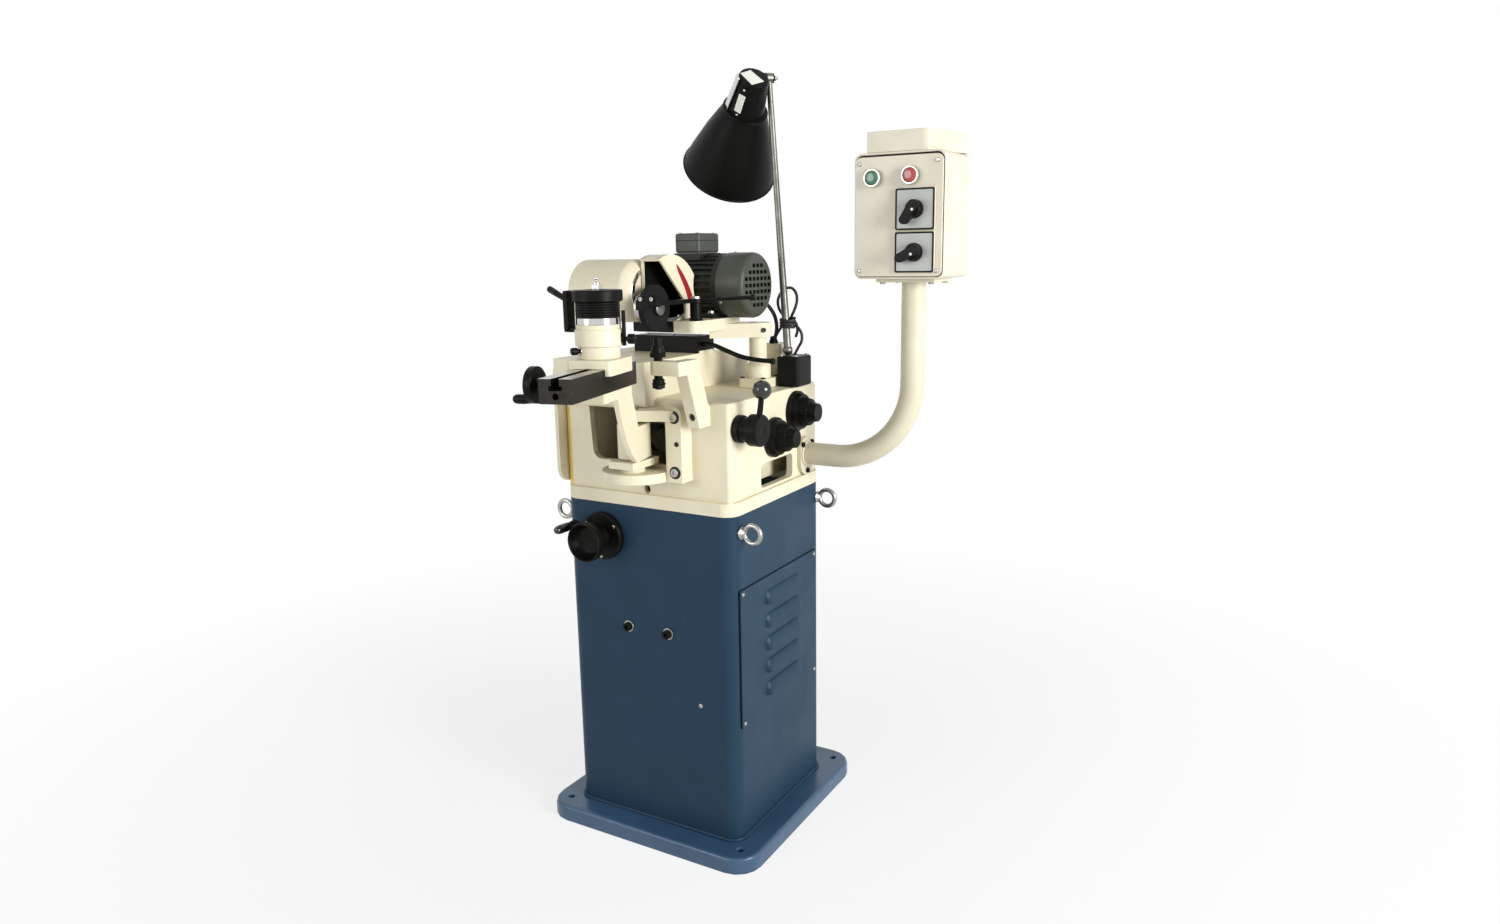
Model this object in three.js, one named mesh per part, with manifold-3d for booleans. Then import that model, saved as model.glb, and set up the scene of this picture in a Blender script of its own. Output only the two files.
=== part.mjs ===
// Saw blade sharpening machine: a cabinet with a cast body, a swinging table for the blade and a grinding head.
// Millimetres, +Z up, -Y is the front with the handwheel, +X the side with the knobs; the origin is on the floor.
import * as THREE from "three";
import { mergeVertices } from "three/addons/utils/BufferGeometryUtils.js";
import Module from "manifold-3d";

const wasm = await Module();
wasm.setup();

// Sizes that many pieces share
const gap = 0.3; // left between two pieces that rest on each other
const overrun = 6; // how far a cut runs past the face it opens
const coarse = 8; // flat sides round a thin rod
const round = 16; // flat sides round a middling turned piece
const full = 24; // flat sides round a large turned piece
const cornerSteps = 4; // flat faces in a quarter round corner

// Cabinet
const cabinetWidth = 413;
const cabinetDepth = 386;
const cabinetTop = 725;
const cabinetCorner = 30;
const cabinetWall = 4;
const cabinetRoof = 6;
const roofMarginSide = 61.5;
const roofOpeningWidth = cabinetWidth - 2 * roofMarginSide;
const roofMarginFront = 88;
const roofOpeningDepth = cabinetDepth - 2 * roofMarginFront;
const roofOpeningCorner = 25;
const shelfHeight = 296;
const shelfThickness = 6;

// Walls that the other pieces stand on
const sideX = cabinetWidth / 2;
const frontY = cabinetDepth / 2;
const bodyRecess = 7; // the walls stand back from the cabinet by this much
const wallX = sideX - bodyRecess;
const wallY = frontY - bodyRecess;

// Base plate
const baseMarginSide = 107;
const baseWidth = cabinetWidth + baseMarginSide;
const baseMarginDepth = 132;
const baseDepth = cabinetDepth + baseMarginDepth;
const baseThickness = 35;
const baseShift = 10.6; // how far the plate reaches further back than forward
const baseCorner = 55;
const baseEdge = 8;
const anchorRadius = 8;
const anchorInset = 40;

// Louvred panel
const panelFrontInset = 21;
const panelFront = -frontY + panelFrontInset;
const panelRearInset = 33;
const panelRear = frontY - panelRearInset;
const panelBottom = 281;
const panelHeight = 292;
const panelTop = panelBottom + panelHeight;
const panelCorner = 3;
const panelThickness = 3;
const panelLap = 14; // how far it covers the wall round the opening
const louvreCount = 5;
const louvreFirstRise = 34;
const louvreFirst = panelBottom + louvreFirstRise;
const louvrePitch = 50;
const louvreFrontInset = 101;
const louvreFront = panelFront + louvreFrontInset;
const louvreRearInset = 80;
const louvreRear = panelRear - louvreRearInset;
const louvreHeight = 28;
const louvreDepth = 9;
const louvreWall = 1.6;
const louvreLip = 3;

// Lifting eyes
const eyeDrop = 35;
const eyeHeight = cabinetTop - eyeDrop;
const eyeFrontInset = 31.5;
const eyeFront = -frontY + eyeFrontInset;
const eyeRearInset = 18.4;
const eyeRear = frontY - eyeRearInset;
const eyeRingRadius = 18;
const eyeBarRadius = 5;
const eyeCollarRadius = 13;
const eyeCollarLength = 7;
const eyeSides = 7;

// Body casting
const bodyFlangeHeight = 27;
const bodyFlangeTop = cabinetTop + bodyFlangeHeight;
const bodyCorner = 9;
const bodyHeight = 223;
const bodyTop = cabinetTop + bodyHeight;
const bodyWall = 14;
const bodyEdge = 8;
const blockHeight = 73;
const blockTop = bodyTop + blockHeight;
const blockOverhang = 29;
const blockFront = -wallY - blockOverhang;
const blockRight = 27;
const blockSlopeStartInset = 120;
const blockSlopeStart = wallY - blockSlopeStartInset;
const blockSlopeEndInset = 26;
const blockSlopeEnd = wallY - blockSlopeEndInset;
const blockSlopeDrop = 26;
const blockSlopeHeight = blockTop - blockSlopeDrop;
const blockRoof = 46;
const blockHollowTop = blockTop - blockRoof;
const openingTopInset = 63.5;
const openingLeftTop = -wallX + openingTopInset;
const openingBottomInset = 69.5;
const openingLeftBottom = -wallX + openingBottomInset;
const openingCorner = 20;
const openingRightInset = 137.5;
const openingRight = wallX - openingRightInset;
const openingFootRise = 63;
const openingBottom = bodyFlangeTop + openingFootRise;
const openingTopDrop = 24;
const openingTop = bodyTop - openingTopDrop;
const windowFrontInset = 120;
const windowFront = -wallY + windowFrontInset;
const windowRearInset = 115;
const windowRear = wallY - windowRearInset;
const windowRise = 6;
const windowBottom = bodyFlangeTop + windowRise;
const windowHeight = 50;
const windowTop = windowBottom + windowHeight;
const windowCorner = 10;
const frontHoleX = 3;
const frontHoleRise = 10;
const frontHoleHeight = bodyFlangeTop + frontHoleRise;
const frontHoleRadius = 9;
const slideInset = 41.5;
const slideLeft = -wallX + slideInset;
const slideHeight = 5;
const bearingBlockInset = 46;
const bearingBlockFront = -wallY + bearingBlockInset;
const bearingBlockDepth = 32;
const bearingBlockRear = bearingBlockFront + bearingBlockDepth;
const bearingBlockHeight = 120;
const bearingBlockTop = bodyFlangeTop + bearingBlockHeight;
const bearingBoreDrop = 34;
const bearingBoreHeight = bearingBlockTop - bearingBoreDrop;
const bearingBoreRadius = 11;
const bearingWebThickness = 14;
const bearingWebLeftInset = 41.5;
const bearingWebLeft = -wallX + bearingWebLeftInset;
const bearingPocket = 66;
const bearingBlockLeft = bearingWebLeft + bearingPocket;
const bearingBoreInset = 30;
const bearingBoreX = bearingBlockLeft + bearingBoreInset;
const bearingBlockWidth = 50;
const bearingBlockRight = bearingBlockLeft + bearingBlockWidth;
const bearingWebRightInset = 71.5;
const bearingWebRight = wallX - bearingWebRightInset;
const cableBoxInset = 43.5;
const cableBoxRight = wallX - cableBoxInset;
const cableBoxWidth = 44;
const cableBoxLeft = cableBoxRight - cableBoxWidth;
const cableBoxRearInset = 30;
const cableBoxRear = wallY - cableBoxRearInset;
const cableBoxDepth = 56;
const cableBoxFront = cableBoxRear - cableBoxDepth;
const cableBoxHeight = 86;
const cableBoxTop = bodyTop + cableBoxHeight;
const cableBoxCorner = 6;
const glandRadius = 7;
const glandDepth = 16;

// Left cover
const coverThickness = 9;
const coverRise = 8;
const coverBottom = bodyFlangeTop + coverRise;
const coverDrop = 4;
const coverTop = blockTop - coverDrop;
const coverInset = 6;
const coverCorner = 30;

// Swinging table: hinge
const hingeX = 9;
const hingeReach = 52;
const hingeY = -wallY - hingeReach;
const swingYawDegrees = 14.63; // the table stands turned by this much in the photograph
const pinRadius = 10;
const pinHeadRadius = 15;
const pinHeadHeight = 6;
const bracketPlateReach = 69;
const bracketPlateLeft = hingeX + bracketPlateReach;
const bracketPlateWidth = 36;
const bracketPlateRight = bracketPlateLeft + bracketPlateWidth;
const bracketPlateDepth = 37;
const bracketPlateFront = -wallY - bracketPlateDepth;
const bracketPlateDrop = 8;
const bracketPlateTop = bodyTop - bracketPlateDrop;
const bracketPlateCorner = 14;
const lugDrop = 15;
const lugTop = bodyTop - lugDrop;
const pinStandOut = 7;
const pinTop = lugTop + pinStandOut;
const lugThickness = 21;
const lugBottom = lugTop - lugThickness;
const lugRadius = 24;
const lugRightDepth = 30;
const lugFrontRight = -wallY - lugRightDepth;
const footLeftReach = 27;
const footLeft = hingeX - footLeftReach;
const footRightReach = 31;
const footRight = hingeX + footRightReach;
const footFrontReach = 42;
const footFront = hingeY - footFrontReach;
const footRearGap = 8;
const footRear = -wallY - footRearGap;
const barrelClear = 7;
const barrelTop = lugBottom - barrelClear;
const barrelHeight = 67;
const barrelBottom = barrelTop - barrelHeight;
const footClear = 3;
const footTop = barrelBottom - footClear;
const footThickness = 14;
const footBottom = footTop - footThickness;
const footGap = 10;
const lowerLugTop = footBottom - footGap;
const lowerLugThickness = 19;
const lowerLugBottom = lowerLugTop - lowerLugThickness;
const pinInset = 2;
const pinBottom = lowerLugBottom + pinInset;
const lowerLugShift = 4;
const lowerLugX = hingeX - lowerLugShift;
const lowerLugRadius = 73;
const lowerLugReach = 27;
const lowerLugCentre = -wallY - lowerLugReach;

// Swinging table: arm and rail, measured forward from the hinge axis and sideways from it
const barrelRadius = 28;
const barrelFlatReach = 23; // how far the barrel's flat side runs past the hinge axis
const tableHalfWidth = 30;
const webThickness = 10;
const webFrontShares = [[0.346, 0], [0.419, 0.036], [0.551, 0.145], [0.713, 0.355], [0.868, 0.673], [1, 1]]; // of its reach and rise
const webBack = 65;
const webBackLow = 39;
const armFlangeNear = 65;
const armFlangeLength = 131;
const armFlangeFar = armFlangeNear + armFlangeLength;
const armFlangeThickness = 17;
const railNear = 39;
const railLength = 281;
const railFar = railNear + railLength;
const railRise = 83.5;
const railBottom = barrelTop + railRise;
const railHeight = 42;
const railTop = railBottom + railHeight;
const slotHalfWidth = 7;
const slotDepth = 12;
const slotHeadHalfWidth = 12;
const slotHeadDepth = 8;
const endHoleRadius = 6;
const endHoleDepth = 30;
const endHoleRise = 12.5;
const endHoleHeight = railBottom + endHoleRise;

// Carriage and blade arbor
const towerForward = 136;
const saddleLength = 104;
const saddleHalfWidth = 43;
const saddleThickness = 15;
const saddleLip = 12;
const saddleCorner = 8;
const housingFootRadius = 37;
const housingFootHeight = 37.5;
const housingFootTop = railTop + housingFootHeight;
const housingRadius = 42.5;
const housingHeight = 38;
const housingTop = housingFootTop + housingHeight;
const housingStep = 8;
const sidePlateNear = -60;
const sidePlateThickness = 9;
const sidePlateHalfLength = 15;
const sidePlateRise = 59;
const sidePlateTop = housingTop + sidePlateRise;
const sidePlateDrop = 14;
const sidePlateFoot = housingTop - sidePlateDrop;
const sideArmDrop = 6;
const sideArmTop = housingTop - sideArmDrop;
const arborRadius = 39.5;
const arborRingHeight = 12;
const arborBottomRing = housingTop + arborRingHeight;
const arborSleeveHeight = 27;
const arborTop = arborBottomRing + arborSleeveHeight;
const arborRibCount = 3;
const arborGroove = 2.5;
const studRadius = 6;
const studLength = 43;
const studTop = arborTop + studLength;
const clampRadius = 45;
const clampHeight = 21;
const clampTop = arborTop + clampHeight;
const clampEdge = 2;
const nutRadius = 10.5;
const nutHeight = 9;
const nutTop = clampTop + nutHeight;
const nutSides = 6;

// Rail handwheel
const railWheelInset = 67;
const railWheelForward = railFar - railWheelInset;
const railWheelRise = 22.5;
const railWheelHeight = railBottom + railWheelRise;
const railWheelRadius = 32;
const railWheelClear = 32;
const railWheelNear = tableHalfWidth + railWheelClear;
const railWheelWidth = 16; // sideways from the middle of the rail
const railWheelFar = railWheelNear + railWheelWidth;
const railWheelRim = 5;
const railHubRadius = 12;
const pinionRadius = 7;
const pinionEnd = 12;
const railGripDrop = 25;
const railGripRadius = 8.5;
const railGripLength = 34;
const railGripEnd = railWheelFar + railGripLength;
const railGripPin = 4;

// Column and head arm
const columnInset = 71.5;
const columnX = wallX - columnInset;
const columnRearInset = 131;
const columnY = wallY - columnRearInset;
const columnFootLeftReach = 30;
const columnFootLeft = columnX - columnFootLeftReach;
const columnFootRightReach = 34;
const columnFootRight = columnX + columnFootRightReach;
const columnFootFrontReach = 35;
const columnFootFront = columnY - columnFootFrontReach;
const columnFootRearReach = 35;
const columnFootRear = columnY + columnFootRearReach;
const columnFootHeight = 20;
const columnFootCorner = 8;
const columnRadius = 18.5;
const columnBossRadius = 26.5;
const columnBossHeight = 48;
const columnBossTop = bodyTop + columnBossHeight;
const columnHeight = 136;
const columnCapTop = bodyTop + columnHeight;
const columnCapRadius = 14;
const columnCapHeight = 6;
const armHubRise = 58;
const armHubBottom = columnBossTop + armHubRise;
const armHubHeight = 29;
const armHubTop = armHubBottom + armHubHeight;
const armHubRadius = 29;
const armStep = 18;
const armBottom = armHubBottom + armStep;
const armThickness = 23;
const armTop = armBottom + armThickness;
const armLeft = -62;
const armRight = 88;
const armFront = -122;
const armRear = 62;
const armCorner = 16;
const armNeckLeft = 62;
const armNeckFront = -30;

// Head housing
const drumY = -144;
const drumRise = 56;
const drumHeight = armTop + drumRise;
const drumRadius = 66;
const drumRight = -12;
const drumTaper = 22;
const drumEndRadius = 48;
const housingLeft = -157;
const beltCaseRight = -56;
const beltCaseRadius = 55;
const housingWall = 7;
const motorY = 20;
const motorRise = 66;
const motorHeight = armTop + motorRise;
const spindleY = -165;
const spindleRise = 28;
const spindleHeight = armTop + spindleRise;

// Spindle, pulleys and grinding wheel
const spindleRadius = 8;
const spindleBearingRadius = 13;
const spindleBearingLeft = -54;
const spindleBearingRight = -16;
const spindlePulleyRadius = 18;
const beltLeft = -118;
const beltWidth = 20;
const beltRight = beltLeft + beltWidth;
const pulleySide = 4;
const beltThickness = 4;
const beltSlack = 1; // between the flat belt and the crown of a pulley
const motorPulleyRadius = 28;
const wheelFlangeLeft = -8;
const wheelLeft = 13;
const wheelThickness = 15;
const wheelRight = wheelLeft + wheelThickness;
const wheelFlangeRadius = 30;
const wheelRadius = 45;
const wheelNutLength = 9;
const wheelNutRadius = 14;

// Wheel guard
const guardLeft = -10;
const guardLeftThickness = 7;
const guardWidth = 47;
const guardRight = guardLeft + guardWidth;
const guardRightThickness = 5;
const guardBand = 5;
const guardCentreY = -125;
const guardCentreRise = 2;
const guardCentreHeight = spindleHeight + guardCentreRise;
const guardRadius = 100;
const guardFrontY = -165;
const guardFrontRise = 92;
const guardFrontHeight = guardCentreHeight + guardFrontRise;
const guardMouthY = -78;
const guardMouthRise = 6;
const guardMouthTop = guardCentreHeight + guardMouthRise;
const guardMouthDrop = 15;
const guardMouthBottom = guardCentreHeight - guardMouthDrop;
const guardToeY = -113;
const guardLeftFront = -161;
const guardFlangeClear = 3;
const guardMotorClear = 2.5;

// Motor
const motorLeft = -45;
const motorLength = 132;
const motorRight = motorLeft + motorLength;
const motorRadius = 65;
const finCount = 26;
const finDepth = 5;
const finRootShare = 0.5;
const motorShaftRadius = 9;
const motorFootHalfWidth = 45;
const motorFootLeft = -18;
const motorFootRight = 70;
const motorFootHeight = 30;
const boxPadRise = 66;
const boxPadTop = motorHeight + boxPadRise;
const terminalLeft = -25;
const terminalWidth = 61;
const terminalRight = terminalLeft + terminalWidth;
const terminalFront = -22;
const terminalDepth = 83;
const terminalRear = terminalFront + terminalDepth;
const terminalHeight = 40;
const terminalTop = boxPadTop + terminalHeight;
const terminalCorner = 9;
const terminalEdge = 4;
const fanCoverLength = 63;
const fanCoverRight = motorRight + fanCoverLength;
const fanCoverRadius = 66;
const fanCoverWall = 2.5;
const fanCoverTaper = 12;
const fanHoleRows = 5;
const fanHolePitch = 17;
const fanHoleHalf = 4.5;
const fanHoleReach = 42;
const fanRadius = 52;
const fanInset = 13;
const fanLeft = motorRight + fanInset;
const fanWidth = 22;
const fanRight = fanLeft + fanWidth;
const fanPlate = 4;
const fanBlades = 6;
const fanBladeThickness = 3;

// Dresser
const dresserX = 72;
const dresserY = -95;
const dresserPostRadius = 11.5;
const dresserPostHeight = 35;
const dresserPostTop = armTop + dresserPostHeight;
const dresserPinRadius = 5;
const dresserHubRadius = 15;
const dresserHubHeight = 8;
const dresserBlockLeft = 22;
const dresserBlockRight = 70;
const dresserBlockFront = -228;
const dresserBlockRear = -212;
const dresserBlockDrop = 8;
const dresserBlockBottom = dresserPostTop - dresserBlockDrop;
const dresserBlockHeight = 28;
const dresserBlockTop = dresserBlockBottom + dresserBlockHeight;
const dresserNotchRight = 52;
const dresserNotchRise = 16;
const dresserNotchTop = dresserBlockBottom + dresserNotchRise;
const dresserBarWidth = 10;
const dresserRodRadius = 4;
const dresserRodEndX = 204;
const dresserRodRise = 12;
const dresserRodEndHeight = dresserPostTop + dresserRodRise;

// Feed slide cover and pawl rod
const wayInset = 62.5;
const wayLeft = -wallX + wayInset;
const wayRightInset = 2;
const wayRight = blockRight - wayRightInset;
const wayRearInset = 21;
const wayRear = blockSlopeStart - wayRearInset;
const wayDepth = 65;
const wayFront = wayRear - wayDepth;
const wayHeight = 35;
const wayTop = blockTop + wayHeight;
const wayWall = 5;
const wayEdge = 2;
const pawlRadius = 4.8;
const pawlDrop = 17; // its start below the top of the cover
const pawlReach = 156.7;
const pawlSide = 20;
const pawlFall = 32;
const pawlShares = [[0, 0, 0], [0.158, 0, 0.031], [0.375, 0, 0.375], [0.592, 0.05, 0.719], [0.796, 0.4, 0.906], [1, 1, 1]];
const pawlNubRadius = 6.5;

// Support bracket and blade rest
const supportArmLeft = 89;
const supportLegShift = 44;
const supportLegLeft = supportArmLeft + supportLegShift;
const supportLegWidth = 25;
const supportRight = supportLegLeft + supportLegWidth;
const supportReach = 104;
const supportFront = -wallY - supportReach;
const supportArmWidth = 28;
const supportArmRear = supportFront + supportArmWidth;
const supportRise = 86;
const supportTop = bodyTop + supportRise;
const supportArmThickness = 26;
const supportArmBottom = supportTop - supportArmThickness;
const supportLegReach = 39;
const supportLegBack = -wallY - supportLegReach;
const supportFootDrop = 45;
const supportFootBottom = bodyTop - supportFootDrop;
const supportFootTopDrop = 8;
const supportFootTop = bodyTop - supportFootTopDrop;
const supportFootHoleRadius = 8;
const supportFootHoleRise = 22;
const supportFootHoleHeight = supportFootBottom + supportFootHoleRise;
const restInset = 14;
const restX = supportArmLeft + restInset;
const restFrontInset = 15;
const restY = supportFront + restFrontInset;
const restBoreRadius = 8;
const restRise = 43;
const restTop = supportTop + restRise;
const restKnobRise = 27;
const restKnobTop = supportTop + restKnobRise;
const restKnobTopRadius = 11;
const restKnobBottomRadius = 14.5;
const restKnobClear = 6.5; // leaves room above the arm for the lowest setting
const restKnobBottom = supportTop + restKnobClear;
const restCollarRadius = 11;
const restCollarClear = 8;
const restCollarTop = supportArmBottom - restCollarClear;
const restNutRadius = 13;
const restNutDrop = 10;
const restNutBottom = restCollarTop - restNutDrop;
const restTipRadius = 7;
const restTipLength = 9;
const restTipBottom = restNutBottom - restTipLength;

// Controls on the right side
const leverInset = 31;
const leverY = -wallY + leverInset;
const leverDrop = 53;
const leverHeight = bodyTop - leverDrop;
const leverBaseRadius = 27;
const leverBaseReach = 14;
const leverBaseEnd = wallX + leverBaseReach;
const leverNeckRadius = 23;
const leverNeckReach = 30;
const leverNeckEnd = wallX + leverNeckReach;
const leverHubRadius = 31;
const leverHubReach = 56;
const leverHubEnd = wallX + leverHubReach;
const leverBallRadius = 18.5;
const leverBallReach = 54.5;
const leverBallX = wallX + leverBallReach;
const leverLength = 78;
const leverBallHeight = leverHeight + leverLength;
const leverRodRadius = 6;
const knobShaftRadius = 8;
const knobShaftLength = 34;
const feedKnobY = -14;
const feedKnobDrop = 92;
const feedKnobHeight = bodyTop - feedKnobDrop;
const feedKnobRadius = 41;
const depthKnobInset = 102;
const depthKnobY = wallY - depthKnobInset;
const depthKnobDrop = 52;
const depthKnobHeight = bodyTop - depthKnobDrop;
const depthKnobRadius = 43;
const knobReach = 55.5;
const knobTip = wallX + knobReach;
const knobStepShares = [[0, 1], [0.16, 1], [0.16, 0.9], [0.36, 0.86], [0.36, 0.7], [0.7, 0.62], [0.7, 0.5], [1, 0.44]];

// Front handwheel
const frontWheelInset = 101.5;
const frontWheelX = -sideX + frontWheelInset;
const frontWheelDrop = 70;
const frontWheelHeight = cabinetTop - frontWheelDrop;
const frontFlangeRadius = 50;
const frontFlangeThickness = 14;
const frontFlangeEnd = -frontY - frontFlangeThickness;
const frontHubRadius = 36;
const frontHubReach = 53;
const frontHubEnd = -frontY - frontHubReach;
const frontDishRadius = 41;
const frontDishReach = 71;
const frontDishEnd = -frontY - frontDishReach;
const frontDishRim = 6;
const frontDishDepth = 9;
const frontArmClear = 5;
const frontArmNear = frontFlangeEnd - frontArmClear;
const frontArmThickness = 12;
const frontArmFar = frontArmNear - frontArmThickness;
const frontArmWidth = 18;
const frontGripSide = 60;
const frontGripX = frontWheelX - frontGripSide;
const frontGripRise = 21;
const frontGripHeight = frontWheelHeight + frontGripRise;
const frontGripRadius = 9.5;
const frontGripReach = 83;
const frontGripEnd = -frontY - frontGripReach;
const frontGripPin = 4;
const frontShaftRadius = 8;
const frontShaftDepth = 73;
const frontShaftRear = -frontY + frontShaftDepth;

// Control box on its tube
const tubeRadius = 24;
const tubeBore = 20;
const tubeInset = 64;
const tubeY = wallY - tubeInset;
const tubeRise = 47;
const tubeHeight = bodyFlangeTop + tubeRise;
const tubeStraight = 82.5;
const tubeBendStart = wallX + tubeStraight;
const tubeBendRadius = 165;
const tubeUpright = 201;
const tubeTop = tubeHeight + tubeBendRadius + tubeUpright;
const tubeBendSteps = 6;
const tubeFlangeRadius = 29;
const tubeFlangeDrop = 47;
const tubeFlangeBottom = tubeHeight - tubeFlangeDrop;
const tubeFlangeRise = 37;
const tubeFlangeTop = tubeHeight + tubeFlangeRise;
const tubeFlangeThickness = 9;
const tubePlateHalfWidth = 60;
const tubePlateHalfDepth = 50;
const boxReach = 98;
const boxLeft = tubeBendStart + tubeBendRadius - boxReach;
const boxWidth = 181;
const boxRight = boxLeft + boxWidth;
const boxFrontReach = 75;
const boxFront = tubeY - boxFrontReach;
const boxDepth = 150;
const boxRear = boxFront + boxDepth;
const tubePlateThickness = 7;
const boxBottom = tubeTop + tubePlateThickness;
const boxHeight = 236;
const boxTop = boxBottom + boxHeight;
const boxCorner = 14;
const boxWall = 4;
const doorThickness = 6;
const doorLeftMargin = 4;
const doorLeft = boxLeft + doorLeftMargin;
const doorRightMargin = 2;
const doorRight = boxRight - doorRightMargin;
const doorBottomMargin = 5;
const doorBottom = boxBottom + doorBottomMargin;
const doorTopMargin = 8;
const doorTop = boxTop - doorTopMargin;
const doorCorner = 12;
const hoodLeftMargin = 24;
const hoodLeft = boxLeft + hoodLeftMargin;
const hoodRightMargin = 1;
const hoodRight = boxRight - hoodRightMargin;
const hoodFrontMargin = 8;
const hoodFront = boxFront + hoodFrontMargin;
const hoodRearReach = 3;
const hoodRear = boxRear + hoodRearReach;
const hoodHeight = 39;
const hoodTop = boxTop + hoodHeight;
const hoodShoulderInset = 36; // the right side runs inward to the front
const hoodShoulder = boxRight - hoodShoulderInset;
const hoodShoulderSlope = 7;
const hoodShoulderWidth = 13.5;
const hoodWall = 3;
const startInset = 42;
const startX = boxLeft + startInset;
const startDrop = 47;
const startHeight = boxTop - startDrop;
const stopInset = 63;
const stopX = boxRight - stopInset;
const stopDrop = 45;
const stopHeight = boxTop - stopDrop;
const bezelRadius = 17;
const bezelLength = 12;
const lensRadius = 13.3;
const lensReach = 15;
const lensFront = boxFront - lensReach;
const lensStandOff = 4.5;
const lensRear = boxFront - lensStandOff;
const buttonStemRadius = 8;
const buttonStemLength = 19;
const buttonStemEnd = boxFront + buttonStemLength;
const switchPlateInset = 15;
const switchPlateRight = boxRight - switchPlateInset;
const switchPlateWidth = 78;
const switchPlateLeft = switchPlateRight - switchPlateWidth;
const switchPlateThickness = 4;
const upperPlateDrop = 68;
const upperPlateTop = boxTop - upperPlateDrop;
const upperPlateHeight = 77;
const upperPlateBottom = upperPlateTop - upperPlateHeight;
const switchPlateGap = 3;
const lowerPlateTop = upperPlateBottom - switchPlateGap;
const lowerPlateHeight = 76;
const lowerPlateBottom = lowerPlateTop - lowerPlateHeight;
const switchHubRadius = 16;
const switchHubReach = 21;
const switchHubEnd = boxFront - switchHubReach;
const switchHandleLength = 32;
const switchHandleWidth = 13;
const switchHandleReach = 30;
const switchHandleEnd = boxFront - switchHandleReach;
const switchStemRadius = 5;
const upperSwitchDegrees = 235; // the handles point down and left, as in the photograph
const lowerSwitchDegrees = 205;

// Lamp
const lampBaseInset = 35.5;
const lampBaseLeft = wallX - lampBaseInset;
const lampBaseWidth = 52;
const lampBaseRight = lampBaseLeft + lampBaseWidth;
const lampBaseRearInset = 52;
const lampBaseRear = wallY - lampBaseRearInset;
const lampBaseDepth = 68;
const lampBaseFront = lampBaseRear - lampBaseDepth;
const lampBaseHeight = 64;
const lampBaseTop = bodyTop + lampBaseHeight;
const lampBaseEdge = 8;
const poleInset = 13; // from the left side of the base
const poleFrontInset = 30;
const poleHeight = 549;
const poleLeanLeft = 44;
const poleLeanForward = 3;
const poleBallRadius = 10.7;
const poleTopRadius = 6;
const poleFootRadius = 8;
const shadeCapLeft = 1; // its top from the head of the pole
const shadeCapForward = 45;
const shadeCapDrop = 4;
const shadeDirection = [-0.55, 0.48, -0.685];
const shadeCapLength = 84;
const shadeCapTopRadius = 31;
const shadeCapBottomRadius = 39.5;
const shadeNeckRadius = 47.5;
const shadeNeckLength = 8;
const shadeLength = 155.5;
const shadeMouthRadius = 101.5;
const shadeWall = 2;
const knuckleRadius = 10;
const knuckleThickness = 14;
const shadeArmRadius = 6;

// Leads
const leadRadius = 3;
const leadSides = 6;
const lampLeadRoute = [
  [167.7, 104.6, 1152], [166.5, 113, 1153], [159, 120, 1151], [149, 120, 1141], [145, 114, 1126], [150, 110, 1108],
  [163, 109, 1092], [180, 109, 1080], [195, 109, 1070], [204, 108, 1057], [204, 108, 1042], [196, 108, 1028],
  [188.5, 108, 1014], [187, 108, 1003],
];
const lampLeadSteps = 42;
const leadBoreRadius = 4.5; // the hole in the lamp's base that the lead goes into
const leadBoreDepth = 12;
const motorLeadRadius = 4;
const motorLeadRoute = [
  [128, 78.2, 1127.4], [129, 88, 1121.8], [134, 97, 1112], [141, 104, 1096], [143, 110, 1078], [139, 117, 1060],
  [132, 122, 1044], [128, 124, 1030], [128, 124, 1018.5],
];
const motorLeadSteps = 20;

// Drive in the cabinet
const feedMotorLeft = -56;
const feedMotorLength = 140;
const feedMotorRight = feedMotorLeft + feedMotorLength;
const feedMotorY = 10;
const feedMotorRise = 76;
const feedMotorHeight = shelfHeight + feedMotorRise;
const feedMotorRadius = 58;
const feedFootHalfWidth = 60;
const feedFootThickness = 10;
const feedPedestalHalfWidth = 36;
const feedShaftRadius = 9;
const feedPulleyRadius = 32;
const feedBeltLeft = -104;
const feedBeltWidth = 16;
const feedBeltRight = feedBeltLeft + feedBeltWidth;
const camPulleyRadius = 64;
const camshaftY = 10;
const camshaftDrop = 86;
const camshaftHeight = bodyTop - camshaftDrop;
const camshaftRadius = 15;
const camRadius = 34;
const camThrow = 10;
const camThickness = 20;
const firstCamLeft = -24;
const secondCamLeft = 56;

// Colours
const cream = { color: "#ddd5b8", roughness: 0.5, metalness: 0 };
const cabinetBlue = { color: "#2f4c66", roughness: 0.45, metalness: 0 };
const black = { color: "#1b1c1b", roughness: 0.45, metalness: 0 };
const blackSteel = { color: "#343230", roughness: 0.4, metalness: 0.8 };
const steel = { color: "#a9aaa8", roughness: 0.35, metalness: 1 };
const motorGrey = { color: "#5d625c", roughness: 0.5, metalness: 0 };
const boxCream = { color: "#e2dcc4", roughness: 0.4, metalness: 0 };
const shadeBlack = { color: "#161614", roughness: 0.4, metalness: 0.2 };
const rubber = { color: "#121212", roughness: 0.75, metalness: 0 };
const abrasive = { color: "#2a2a2b", roughness: 0.95, metalness: 0 };
const startGreen = { color: "#2c8a4a", roughness: 0.35, metalness: 0 };
const stopRed = { color: "#b32020", roughness: 0.35, metalness: 0 };

const alongX = new THREE.Vector3(1, 0, 0);
const alongY = new THREE.Vector3(0, 1, 0);
const alongZ = new THREE.Vector3(0, 0, 1);
const degree = Math.PI / 180;

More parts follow.
